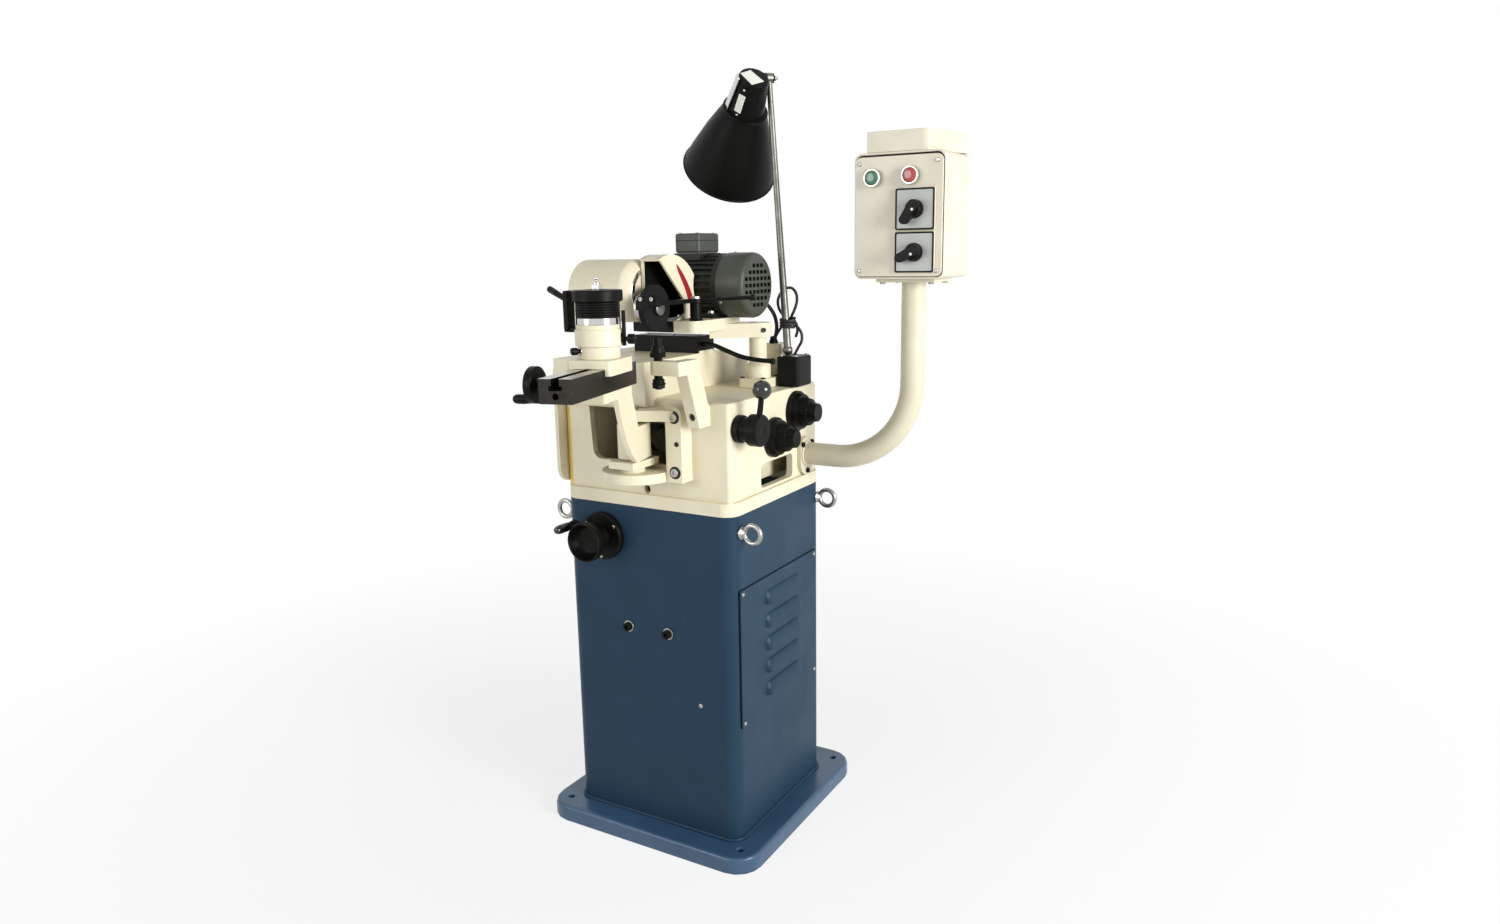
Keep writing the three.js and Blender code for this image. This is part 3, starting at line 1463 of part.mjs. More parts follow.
// Motor shaft: pulley at the left, fan at the right
const blades = [];
for (let i = 0; i < fanBlades; i++) {
  const angle = (i * 360) / fanBlades;
  const [y, z] = arc(0, 0, fanRadius - fanPlate, angle, angle, 1)[0];
  const blade = new THREE.BoxGeometry(fanRight - fanLeft, fanRadius - motorShaftRadius, fanBladeThickness);
  blade.translate((fanLeft + fanRight) / 2, (fanRadius + motorShaftRadius) / 2 - fanPlate, 0);
  blade.rotateX(Math.atan2(z, y));
  blade.translate(0, motorY, motorHeight);
  blades.push(solid(blade));
}
piece(
  "motor_shaft",
  join(
    turned(
      [
        [motorShaftRadius, beltLeft - pulleySide * 2], [motorShaftRadius, beltLeft - pulleySide], [motorPulleyRadius, beltLeft - pulleySide],
        [motorPulleyRadius, beltRight + pulleySide], [motorShaftRadius, beltRight + pulleySide], [motorShaftRadius, fanLeft - fanPlate],
        [fanRadius, fanLeft - fanPlate], [fanRadius, fanLeft], [motorShaftRadius, fanLeft], [motorShaftRadius, fanRight],
      ],
      motorAt, alongX, round),
    ...blades,
  ),
  steel,
);

// Head belt, flat, round the two pulleys
const beltLoop = (y0, z0, radius0, y1, z1, radius1, left, right) =>
  cut(
    drawn(beltOutline(y0, z0, radius0 + beltSlack + beltThickness, y1, z1, radius1 + beltSlack + beltThickness), alongX, left, right),
    drawn(beltOutline(y0, z0, radius0 + beltSlack, y1, z1, radius1 + beltSlack), alongX, left - overrun, right + overrun),
  );
piece("head_belt", beltLoop(spindleY, spindleHeight, spindlePulleyRadius, motorY, motorHeight, motorPulleyRadius, beltLeft, beltRight), rubber);

// Dresser: a post on the head arm, and the lever that turns on it with the diamond block and a rod
piece(
  "dresser_bracket",
  turned(
    [[dresserPostRadius, armTop + gap], [dresserPostRadius, dresserPostTop], [dresserPinRadius, dresserPostTop], [dresserPinRadius, dresserPostTop + dresserHubHeight + gap]],
    [dresserX, dresserY, 0], alongZ, round),
  black,
);
const dresserHubBottom = dresserPostTop + gap;
const dresserHubTop = dresserHubBottom + dresserHubHeight;
const dresserBarX = dresserBlockRight - dresserBarWidth;
piece(
  "dresser_lever",
  cut(
    join(
      rod(dresserHubRadius, [dresserX, dresserY, dresserHubBottom], [dresserX, dresserY, dresserHubTop]),
      drawn(
        [
          [dresserX - dresserBarWidth, dresserY], [dresserBarX - dresserBarWidth, dresserBlockRear - overrun],
          [dresserBarX + dresserBarWidth / 2, dresserBlockRear - overrun], [dresserX + dresserBarWidth / 2, dresserY],
        ],
        alongZ, dresserHubBottom, dresserHubTop),
      drawn(
        [
          [dresserBlockLeft, dresserBlockBottom], [dresserNotchRight, dresserBlockBottom], [dresserNotchRight, dresserBlockBottom + dresserBarWidth],
          [dresserBlockRight, dresserNotchTop - dresserBarWidth], [dresserBlockRight, dresserBlockTop], [dresserBlockLeft + dresserBarWidth, dresserBlockTop],
          [dresserBlockLeft, dresserNotchTop],
        ],
        alongY, dresserBlockFront, dresserBlockRear),
      rod(dresserRodRadius, [dresserX, dresserY, dresserHubTop - dresserRodRadius], [dresserRodEndX, dresserY, dresserRodEndHeight], coarse),
    ),
    rod(dresserPinRadius + gap, [dresserX, dresserY, dresserHubBottom - overrun], [dresserX, dresserY, dresserHubTop + overrun]),
  ),
  black,
);

// Feed slide: a black cover on the ground way, with the bent pawl rod at its right end
const wayBottom = blockTop + slideHeight;
piece(
  "way_cover",
  cut(
    drawn(roundedRectangle(wayFront, wayRear, wayBottom - slideHeight + gap, wayTop, wayEdge), alongX, wayLeft, wayRight),
    block(wayLeft - overrun, wayRight - wayWall, wayFront + wayWall - gap, wayRear - wayWall + gap, wayBottom - slideHeight - overrun, wayBottom),
    block(wayLeft - overrun, wayRight + overrun, wayFront + wayWall - gap, wayRear - wayWall + gap, wayBottom - slideHeight - overrun, wayBottom),
    block(wayLeft + wayWall, wayRight - wayWall * 2, wayFront + wayWall, wayRear - wayWall, wayBottom - overrun, wayTop - wayWall),
  ),
  black,
);
const pawlY = wayFront + pawlSide;
const pawlBends = pawlShares.map(([reach, side, fall]) => [wayRight + gap + pawlReach * reach, pawlY + pawlSide * side, wayTop - pawlDrop - pawlFall * fall]);
piece("pawl_rod", join(bentBar(pawlRadius, pawlBends, coarse * 2, coarse), ball(pawlNubRadius, pawlBends.at(-1), coarse)), black);

// Support bracket: an arm over the table with a slanted leg to the front wall
const armBore = rod(restBoreRadius + gap, [restX, restY, supportArmBottom - overrun], [restX, restY, supportTop + overrun]);
const supportArmHalf = (supportArmRear - supportFront) / 2;
piece(
  "support_bracket",
  cut(
    join(
      drawn(
        [
          [supportRight, supportArmRear],
          ...arc(supportArmLeft + supportArmHalf, supportArmRear - supportArmHalf, supportArmHalf, 90, 270, cornerSteps * 2),
          [supportRight, supportFront],
        ],
        alongZ, supportArmBottom, supportTop),
      drawn(
        [
          [supportFront, supportArmBottom], [supportArmRear, supportArmBottom], [supportLegBack, supportFootBottom], [bracketBack, supportFootBottom],
          [bracketBack, supportFootTop], [bracketBack - bodyEdge, bodyTop], [supportLegBack, supportTop], [supportFront, supportTop],
        ],
        alongX, supportLegLeft, supportRight),
    ),
    armBore,
    rod(supportFootHoleRadius, [(supportLegLeft + supportRight) / 2, supportFront, supportFootHoleHeight],
      [(supportLegLeft + supportRight) / 2, bracketBack + overrun, supportFootHoleHeight], coarse),
  ),
  cream,
);

// Blade rest: a screw through the arm with a knurled sleeve above and nuts below
piece(
  "blade_rest_screw",
  turned(
    [
      [restTipRadius - gap, restTipBottom], [restTipRadius, restNutBottom], [restNutRadius, restNutBottom], [restNutRadius, restCollarTop - restTipRadius],
      [restCollarRadius, restCollarTop - restTipRadius], [restCollarRadius, restCollarTop], [restBoreRadius, restCollarTop],
      [restBoreRadius, restKnobBottom], [restKnobBottomRadius, restKnobBottom], [restKnobTopRadius, restKnobTop],
      [restBoreRadius, restKnobTop], [restBoreRadius, restTop],
    ],
    [restX, restY, 0], alongZ, round),
  black,
);

// Ball lever: a round base and a neck behind the hub, with a rod up to the ball
const controlFace = wallX + gap;
piece(
  "ball_lever",
  join(
    turned(
      [
        [knobShaftRadius, wallX - knobShaftLength], [knobShaftRadius, controlFace], [leverBaseRadius, controlFace],
        [leverBaseRadius, leverBaseEnd], [leverNeckRadius, leverBaseEnd], [leverNeckRadius, leverNeckEnd],
        [leverHubRadius, leverNeckEnd], [leverHubRadius, leverHubEnd],
      ],
      [0, leverY, leverHeight], alongX, round),
    rod(leverRodRadius, [(leverNeckEnd + leverHubEnd) / 2, leverY, leverHeight], [leverBallX, leverY, leverBallHeight], coarse),
    ball(leverBallRadius, [leverBallX, leverY, leverBallHeight], round),
  ),
  black,
);

// Feed and depth knobs: stepped cones with a shaft into the body
function steppedKnob(name, y, z, radius) {
  const length = knobTip - controlFace;
  piece(
    name,
    turned(
      [[knobShaftRadius, wallX - knobShaftLength], [knobShaftRadius, controlFace],
        ...knobStepShares.map(([along, across]) => [radius * across, controlFace + length * along])],
      [0, y, z], alongX, full),
    black,
  );
}
steppedKnob("feed_knob", feedKnobY, feedKnobHeight, feedKnobRadius);
steppedKnob("depth_knob", depthKnobY, depthKnobHeight, depthKnobRadius);

// Front handwheel: bearing flange on the cabinet, dished wheel with a crank arm, turning grip
const toFront = alongY.clone().negate();
piece(
  "handwheel_flange",
  cut(
    turned([[frontFlangeRadius, frontY + gap], [frontFlangeRadius, -frontFlangeEnd]], [frontWheelX, 0, frontWheelHeight], toFront, full),
    rod(frontShaftRadius + gap, [frontWheelX, -frontY + overrun, frontWheelHeight], [frontWheelX, frontFlangeEnd - overrun, frontWheelHeight]),
  ),
  black,
);
const crankLean = Math.atan2(frontGripHeight - frontWheelHeight, frontGripX - frontWheelX) / degree;
piece(
  "front_handwheel",
  cut(
    join(
      turned(
        [
          [frontShaftRadius, -frontShaftRear - frontY + -frontShaftRear], [frontShaftRadius, -frontFlangeEnd + gap], [frontHubRadius, -frontFlangeEnd + gap],
          [frontHubRadius, -frontHubEnd], [frontDishRadius, -frontHubEnd], [frontDishRadius, -frontDishEnd],
          [frontDishRadius - frontDishRim, -frontDishEnd], [frontDishRadius - frontDishRim, -frontDishEnd - frontDishDepth],
        ],
        [frontWheelX, 0, frontWheelHeight], toFront, full),
      drawn(
        [
          ...arc(frontGripX, frontGripHeight, frontArmWidth / 2, crankLean - 90, crankLean + 90, cornerSteps * 2),
          ...arc(frontWheelX, frontWheelHeight, frontArmWidth, crankLean + 90, crankLean + 270, cornerSteps),
        ],
        alongY, frontArmFar, frontArmNear),
    ),
    rod(frontGripPin + gap, [frontGripX, frontArmNear + overrun, frontGripHeight], [frontGripX, frontArmFar - overrun, frontGripHeight], full),
  ),
  black,
);
piece(
  "front_handwheel_grip",
  turned(
    [
      [frontGripPin, -frontArmNear + gap], [frontGripPin, -frontArmFar + gap], [frontGripRadius - frontGripPin / 2, -frontArmFar + gap],
      [frontGripRadius, -frontGripEnd - frontGripRadius], [frontGripRadius - frontGripPin / 2, -frontGripEnd],
    ],
    [frontGripX, 0, frontGripHeight], toFront, coarse),
  black,
);

// Box tube: a wall flange, a pipe that bends upwards and the plate under the control box
const tubeX = tubeBendStart + tubeBendRadius;
const bendPoints = arc(tubeBendStart, tubeHeight + tubeBendRadius, tubeBendRadius, -90, 0, tubeBendSteps).map(([x, z]) => [x, tubeY, z]);
const pipe = (radius, start, end) =>
  join(
    bentBar(radius, [[tubeBendStart - overrun, tubeY, tubeHeight], ...bendPoints, [tubeX, tubeY, tubeHeight + tubeBendRadius + overrun]], tubeBendSteps * 2, round),
    rod(radius, [start, tubeY, tubeHeight], [tubeBendStart, tubeY, tubeHeight]),
    rod(radius, [tubeX, tubeY, tubeHeight + tubeBendRadius], [tubeX, tubeY, end]),
  );
piece(
  "box_tube",
  cut(
    join(
      pipe(tubeRadius, controlFace, tubeTop),
      drawn(
        [
          ...arc(tubeY, tubeFlangeTop - tubeFlangeRadius, tubeFlangeRadius, 0, 180, cornerSteps * 2),
          ...arc(tubeY, tubeFlangeBottom + tubeFlangeRadius, tubeFlangeRadius, 180, 360, cornerSteps * 2),
        ],
        alongX, controlFace, controlFace + tubeFlangeThickness),
      block(tubeX - tubePlateHalfWidth, tubeX + tubePlateHalfWidth, tubeY - tubePlateHalfDepth, tubeY + tubePlateHalfDepth, tubeTop, boxBottom - gap),
    ),
    pipe(tubeBore, controlFace - overrun, boxBottom + overrun),
  ),
  boxCream,
);

// Control box: a sheet box open to the front, its door plate with bezels and switch plates, and the hood
const doorBack = boxFront + doorThickness;
piece(
  "control_box",
  cut(
    drawn(roundedRectangle(boxLeft, boxRight, boxBottom, boxTop, boxCorner), alongY, doorBack + gap, boxRear),
    drawn(
      roundedRectangle(boxLeft + boxWall, boxRight - boxWall, boxBottom + boxWall, boxTop - boxWall, boxCorner - boxWall),
      alongY, boxFront, boxRear - boxWall),
    rod(tubeBore, [tubeX, tubeY, boxBottom - overrun], [tubeX, tubeY, boxBottom + boxWall + overrun]),
  ),
  boxCream,
);
const bezel = (x, z) => rod(bezelRadius, [x, boxFront - bezelLength, z], [x, boxFront + doorThickness / 2, z]);
const bezelBore = (x, z) => rod(lensRadius + gap, [x, boxFront - bezelLength - overrun, z], [x, boxFront, z]);
const plateBlock = (bottom, top) =>
  block(switchPlateLeft, switchPlateRight, boxFront - switchPlateThickness, boxFront + doorThickness / 2, bottom, top);
const switchX = (switchPlateLeft + switchPlateRight) / 2;
const upperSwitchHeight = (upperPlateBottom + upperPlateTop) / 2;
const lowerSwitchHeight = (lowerPlateBottom + lowerPlateTop) / 2;
const throughDoor = (radius, x, z) => rod(radius + gap, [x, boxFront - bezelLength - overrun, z], [x, doorBack + overrun, z], full);
piece(
  "control_box_door",
  cut(
    join(
      drawn(roundedRectangle(doorLeft, doorRight, doorBottom, doorTop, doorCorner), alongY, boxFront, doorBack),
      bezel(startX, startHeight),
      bezel(stopX, stopHeight),
      plateBlock(upperPlateBottom, upperPlateTop),
      plateBlock(lowerPlateBottom, lowerPlateTop),
    ),
    bezelBore(startX, startHeight),
    bezelBore(stopX, stopHeight),
    throughDoor(buttonStemRadius, startX, startHeight),
    throughDoor(buttonStemRadius, stopX, stopHeight),
    throughDoor(switchStemRadius, switchX, upperSwitchHeight),
    throughDoor(switchStemRadius, switchX, lowerSwitchHeight),
  ),
  boxCream,
);
const hoodOutline = (inset) => [
  [hoodLeft + inset, hoodFront + inset],
  [hoodShoulder - hoodShoulderWidth - inset / 2, hoodFront + inset],
  [hoodShoulder - inset, hoodFront + hoodShoulderSlope + inset / 2],
  [hoodRight - inset, hoodRear - inset],
  [hoodLeft + inset, hoodRear - inset],
];
piece(
  "box_hood",
  cut(
    drawn(hoodOutline(0), alongZ, boxTop + gap, hoodTop),
    drawn(hoodOutline(hoodWall), alongZ, boxTop + gap - overrun, hoodTop - hoodWall),
  ),
  boxCream,
);

// Push buttons: a lens in its bezel and a stem through the door
function pushButton(name, x, z, finish) {
  piece(
    name,
    turned(
      [[buttonStemRadius, -buttonStemEnd], [buttonStemRadius, -lensRear], [lensRadius, -lensRear], [lensRadius, -lensFront - gap], [lensRadius - gap * 5, -lensFront]],
      [x, 0, z], toFront, round),
    finish,
  );
}
pushButton("start_button", startX, startHeight, startGreen);
pushButton("stop_button", stopX, stopHeight, stopRed);

// Cam switches: a hub with a pointed handle and a stem through the door
function camSwitch(name, z, degrees) {
  const face = boxFront - switchPlateThickness - gap;
  const lean = new THREE.Matrix4().makeRotationY(-degrees * degree);
  const handle = new THREE.BoxGeometry(switchHandleLength, face - switchHandleEnd, switchHandleWidth);
  handle.translate(switchHandleLength / 2, (face + switchHandleEnd) / 2, 0);
  handle.applyMatrix4(lean);
  handle.translate(switchX, 0, z);
  piece(
    name,
    join(
      rod(switchHubRadius, [switchX, switchHubEnd, z], [switchX, face, z]),
      rod(switchStemRadius, [switchX, face - gap, z], [switchX, buttonStemEnd, z], coarse),
      solid(handle),
    ),
    black,
  );
}
camSwitch("upper_switch", upperSwitchHeight, upperSwitchDegrees);
camSwitch("lower_switch", lowerSwitchHeight, lowerSwitchDegrees);

// Lamp: a cast base on the body, the pole and the shade on its knuckle
const [leadInX, leadInY] = lampLeadRoute.at(-1);
piece(
  "lamp_base",
  cut(
    drawn(
      roundedRectangle(lampBaseLeft, lampBaseRight, lampBaseFront, lampBaseRear, lampBaseEdge),
      alongZ, bodyTop + gap, lampBaseTop, lampBaseEdge / 2),
    rod(leadBoreRadius, [leadInX, leadInY, lampBaseTop - leadBoreDepth], [leadInX, leadInY, lampBaseTop + overrun], coarse),
  ),
  black,
);
const foot = new THREE.Vector3(lampBaseLeft + poleInset, lampBaseFront + poleFrontInset, lampBaseTop + gap + poleBallRadius);
const head = foot.clone().add(new THREE.Vector3(-poleLeanLeft, -poleLeanForward, poleHeight));
const shadeCapTop = head.clone().add(new THREE.Vector3(-shadeCapLeft, -shadeCapForward, -shadeCapDrop));
const shadeAxis = new THREE.Vector3(...shadeDirection).normalize();
const knuckleAxis = new THREE.Vector3().crossVectors(shadeAxis, alongZ).normalize();
const knuckle = (side) => {
  const near = head.clone().addScaledVector(knuckleAxis, side * gap / 2);
  const far = head.clone().addScaledVector(knuckleAxis, side * (gap / 2 + knuckleThickness));
  return rod(knuckleRadius, near.toArray(), far.toArray(), round);
};
const knuckleMiddle = (side) => head.clone().addScaledVector(knuckleAxis, side * (gap + knuckleThickness) / 2);
const poleEnd = knuckleMiddle(1);
piece(
  "lamp_pole",
  join(
    ball(poleBallRadius, foot.toArray(), round),
    turned([[poleFootRadius, 0], [poleTopRadius, foot.distanceTo(poleEnd)]], foot.toArray(), poleEnd.clone().sub(foot).normalize(), coarse),
    knuckle(1),
  ),
  steel,
);
const neck = shadeCapLength;
const mouth = neck + shadeLength;
const shadeArmFoot = shadeCapTop.clone().addScaledVector(shadeAxis, shadeNeckLength * 2).toArray();
piece(
  "lamp_shade",
  join(
    turned(
      [
        [shadeCapTopRadius, 0], [shadeCapBottomRadius, neck - shadeNeckLength], [shadeNeckRadius, neck - shadeNeckLength], [shadeNeckRadius, neck],
        [shadeMouthRadius, mouth], [shadeMouthRadius - shadeWall, mouth], [shadeNeckRadius - shadeWall, neck + shadeWall], [0, neck + shadeWall],
      ],
      shadeCapTop.toArray(), shadeAxis, full),
    rod(shadeArmRadius, shadeArmFoot, knuckleMiddle(-1).toArray(), coarse),
    knuckle(-1),
  ),
  shadeBlack,
);

// Leads: the lamp's lead looped beside the pole, and the motor's lead to the cable box
piece("lamp_lead", bentBar(leadRadius, lampLeadRoute, lampLeadSteps, leadSides), rubber);
piece("motor_lead", bentBar(motorLeadRadius, motorLeadRoute, motorLeadSteps, leadSides), rubber);

// Feed motor on the cabinet's shelf, its pulley, the belt and the camshaft in the body
const feedMotorAt = [0, feedMotorY, feedMotorHeight];
const camshaftAt = [0, camshaftY, camshaftHeight];
piece(
  "feed_motor",
  cut(
    join(
      acrossRod(feedMotorRadius, feedMotorAt, feedMotorLeft, feedMotorRight, round),
      block(feedMotorLeft, feedMotorRight, feedMotorY - feedFootHalfWidth, feedMotorY + feedFootHalfWidth, shelfHeight + gap, shelfHeight + gap + feedFootThickness),
      block(feedMotorLeft, feedMotorRight, feedMotorY - feedPedestalHalfWidth, feedMotorY + feedPedestalHalfWidth, shelfHeight + gap, feedMotorHeight),
    ),
    acrossRod(feedShaftRadius + gap, feedMotorAt, feedMotorLeft - overrun, (feedMotorLeft + feedMotorRight) / 2, full),
  ),
  motorGrey,
);
piece(
  "feed_pulley",
  turned(
    [
      [feedShaftRadius, feedBeltLeft - pulleySide * 2], [feedShaftRadius, feedBeltLeft - pulleySide], [feedPulleyRadius, feedBeltLeft - pulleySide],
      [feedPulleyRadius, feedBeltRight + pulleySide], [feedShaftRadius, feedBeltRight + pulleySide], [feedShaftRadius, feedMotorLeft + feedFootHalfWidth],
    ],
    feedMotorAt, alongX, round),
  steel,
);
piece("feed_belt", beltLoop(feedMotorY, feedMotorHeight, feedPulleyRadius, camshaftY, camshaftHeight, camPulleyRadius, feedBeltLeft, feedBeltRight), rubber);
const cam = (left, side) => acrossRod(camRadius, [0, camshaftY + side * camThrow, camshaftHeight], left, left + camThickness, round);
piece(
  "camshaft",
  join(
    turned(
      [
        [camshaftRadius, bearingWebLeft - pulleySide], [camshaftRadius, feedBeltLeft - pulleySide], [camPulleyRadius, feedBeltLeft - pulleySide],
        [camPulleyRadius, feedBeltRight + pulleySide], [camshaftRadius, feedBeltRight + pulleySide],
        [camshaftRadius, bearingWebRight + bearingWebThickness + pulleySide],
      ],
      camshaftAt, alongX, round),
    cam(firstCamLeft, 1),
    cam(secondCamLeft, -1),
  ),
  steel,
);

export default machine;
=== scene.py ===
# Saw blade sharpening machine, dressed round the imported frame.
# Sizes are in millimetres unless a comment says metres.
# +Z is up, -Y is the front with the handwheel, and +X is the side with the knobs and the control box.
import math

import bmesh
import bpy
from mathutils import Matrix, Vector


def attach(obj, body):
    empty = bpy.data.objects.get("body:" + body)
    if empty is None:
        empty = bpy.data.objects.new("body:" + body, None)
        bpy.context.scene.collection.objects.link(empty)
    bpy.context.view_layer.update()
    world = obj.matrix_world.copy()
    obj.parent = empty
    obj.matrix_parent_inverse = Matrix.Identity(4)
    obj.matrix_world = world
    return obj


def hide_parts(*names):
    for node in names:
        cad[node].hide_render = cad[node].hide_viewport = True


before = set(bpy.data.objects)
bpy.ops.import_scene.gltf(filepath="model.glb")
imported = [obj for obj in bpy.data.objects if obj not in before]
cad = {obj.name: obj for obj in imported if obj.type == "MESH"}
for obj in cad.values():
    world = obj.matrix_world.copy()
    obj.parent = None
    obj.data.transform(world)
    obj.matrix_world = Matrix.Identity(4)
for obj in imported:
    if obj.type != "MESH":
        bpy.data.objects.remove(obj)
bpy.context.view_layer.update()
MM = 0.001


# Camera
# A wide lens at about chest height, to the right of the machine and looking slightly down, as in the photo.
# Its place, its turn and its lens were solved from the machine's upright and level edges.
def in_scene(name, data):
    """A new object of the data, in the scene."""
    obj = bpy.data.objects.new(name, data)
    bpy.context.scene.collection.objects.link(obj)
    return obj


camera_place = Vector((1177.7, -1801.9, 1224.8))
camera_heading, camera_pitch, camera_roll = 30.03, -11.66, -0.89
camera_data = bpy.data.cameras.new("camera")
camera_data.sensor_width = 36
camera_data.lens = 24.273
camera = in_scene("camera", camera_data)
turn = Matrix.Rotation(math.radians(camera_heading), 4, "Z")
tilt = Matrix.Rotation(math.radians(90 + camera_pitch), 4, "X")
roll = Matrix.Rotation(math.radians(camera_roll), 4, "Z")
camera.matrix_world = Matrix.Translation(camera_place * MM) @ turn @ tilt @ roll
bpy.context.scene.camera = camera
bpy.context.scene.view_settings.view_transform = "Standard"


# Room
# Plain white studio, in metres: a pale floor, a large soft light from the right, a weaker one from the front
# left, and an even surround. The floor and the surround look white to the camera and in the gloss.
def linear(colour):
    """The linear value of an sRGB colour written as hex."""
    channels = [int(colour[i : i + 2], 16) / 255 for i in (1, 3, 5)]
    return [c / 12.92 if c <= 0.04045 else ((c + 0.055) / 1.055) ** 2.4 for c in channels] + [1]


def add(tree, kind, inputs=None, **settings):
    """Adds a node with its settings, and sets or links its inputs."""
    node = tree.nodes.new(kind)
    for name, value in settings.items():
        setattr(node, name, value)
    for name, value in (inputs or {}).items():
        if isinstance(value, bpy.types.NodeSocket):
            tree.links.new(value, node.inputs[name])
        else:
            node.inputs[name].default_value = value
    return node


def empty_tree(owner):
    """The node tree of a world or a material, cleared."""
    owner.use_nodes = True
    owner.node_tree.nodes.clear()
    return owner.node_tree


def seen_directly(tree):
    """1 where the camera, a reflection or a clear part sees a surface, 0 where it only lights."""
    rays = add(tree, "ShaderNodeLightPath").outputs
    seen = rays["Is Camera Ray"]
    for ray in ("Is Glossy Ray", "Is Transmission Ray"):
        seen = add(tree, "ShaderNodeMath", {0: seen, 1: rays[ray]}, operation="MAXIMUM").outputs[0]
    return seen


def soft_light(name, place, size, power):
    """A round soft lamp, in metres and watts, turned to the middle of the machine."""
    data = bpy.data.lights.new(name, "AREA")
    data.shape = "DISK"
    data.size = size
    data.energy = power
    lamp = in_scene(name, data)
    lamp.location = place
    lamp.rotation_euler = (Vector((0, 0, 0.9)) - Vector(place)).to_track_quat("-Z", "Y").to_euler()


world = bpy.data.worlds.new("studio")
bpy.context.scene.world = world
tree = empty_tree(world)
even = add(tree, "ShaderNodeBackground", {"Color": linear("#f4f6fa"), "Strength": 0.34})
white = add(tree, "ShaderNodeBackground", {"Color": (1, 1, 1, 1), "Strength": 1.0})
surround = add(tree, "ShaderNodeMixShader", {0: seen_directly(tree), 1: even.outputs[0], 2: white.outputs[0]})
add(tree, "ShaderNodeOutputWorld", {"Surface": surround.outputs[0]})
soft_light("window_right", (4.4, -0.9, 1.8), 2.2, 218)
soft_light("window_front", (-1.8, -4.2, 1.9), 2.6, 78)

floor_reach = 14
shade_reach, white_reach, glow_at_machine = 0.6, 2.2, 0.76
floor_corners = [(x * floor_reach, y * floor_reach, 0) for x, y in ((-1, -1), (1, -1), (1, 1), (-1, 1))]
floor_mesh = bpy.data.meshes.new("floor")
floor_mesh.from_pydata(floor_corners, [], [(0, 1, 2, 3)])
floor = in_scene("floor", floor_mesh)
floor_finish = bpy.data.materials.new("white studio floor")
tree = empty_tree(floor_finish)
matt = add(tree, "ShaderNodeBsdfDiffuse", {"Color": linear("#f2f2f2")})
glow = add(tree, "ShaderNodeEmission", {"Color": (1, 1, 1, 1), "Strength": 1.0})
floor_place = add(tree, "ShaderNodeTexCoord").outputs["Object"]
away = add(tree, "ShaderNodeVectorMath", {0: floor_place}, operation="LENGTH").outputs["Value"]
whiter = add(tree, "ShaderNodeMapRange", {
    "Value": away, "From Min": shade_reach, "From Max": white_reach, "To Min": glow_at_machine})
share = add(tree, "ShaderNodeMath", {0: seen_directly(tree), 1: whiter.outputs[0]}, operation="MULTIPLY")
mix = add(tree, "ShaderNodeMixShader", {0: share.outputs[0], 1: matt.outputs[0], 2: glow.outputs[0]})
add(tree, "ShaderNodeOutputMaterial", {"Surface": mix.outputs[0]})
floor_mesh.materials.append(floor_finish)


# Leads
# Two thin rubber leads: the lamp's, from its pole in a loop into the lamp's base, and the motor's, into the
# cable box. Extruded PVC and rubber, matt, with a slight bloom of dust.
def surface(slot, roughness, metallic=0.0, name=None, **sockets):
    """A new material for a slot: its tree, its Principled shader and its object coordinates in metres."""
    material = bpy.data.materials.new(name or slot)
    material["slot"] = slot
    tree = empty_tree(material)
    shader = add(tree, "ShaderNodeBsdfPrincipled", {"Roughness": roughness, "Metallic": metallic, **sockets})
    add(tree, "ShaderNodeOutputMaterial", {"Surface": shader.outputs[0]})
    place = add(tree, "ShaderNodeTexCoord").outputs["Object"]
    return material, tree, shader, place


def patches(tree, place, size_mm, detail=3, spread=0.5):
    """A soft noise whose patches are about size_mm across, from 0 to 1."""
    noise = add(tree, "ShaderNodeTexNoise", {
        "Vector": place, "Scale": 1 / (size_mm * MM), "Detail": detail, "Roughness": 0.55})
    return add(tree, "ShaderNodeMapRange", {
        "Value": noise.outputs["Fac"], "From Min": 0.5 - spread / 2, "From Max": 0.5 + spread / 2}).outputs[0]


def blend_colours(tree, share, first, second):
    """first where share is 0, second where it is 1; each a hex colour, a linear colour or a socket."""
    first, second = (linear(c) if isinstance(c, str) else c for c in (first, second))
    return add(tree, "ShaderNodeMix", {0: share, 6: first, 7: second}, data_type="RGBA").outputs[2]


def link(tree, output, shader, socket):
    tree.links.new(output, shader.inputs[socket])


def rough_between(tree, share, low, high):
    return add(tree, "ShaderNodeMapRange", {"Value": share, "To Min": low, "To Max": high}).outputs[0]


def bumps(tree, height, depth_mm, after=None):
    """A bump of that depth from a height of 0 to 1, laid over another bump."""
    inputs = {"Height": height, "Distance": depth_mm * MM, "Strength": 1.0}
    if after is not None:
        inputs["Normal"] = after
    return add(tree, "ShaderNodeBump", inputs).outputs[0]


rubber, tree, shader, place = surface("rubber", 0.6, name="matt black rubber")
dust = patches(tree, place, 12)
link(tree, blend_colours(tree, dust, "#101010", "#1e1e1d"), shader, "Base Color")
link(tree, rough_between(tree, dust, 0.5, 0.72), shader, "Roughness")
link(tree, bumps(tree, patches(tree, place, 0.8), 0.05), shader, "Normal")


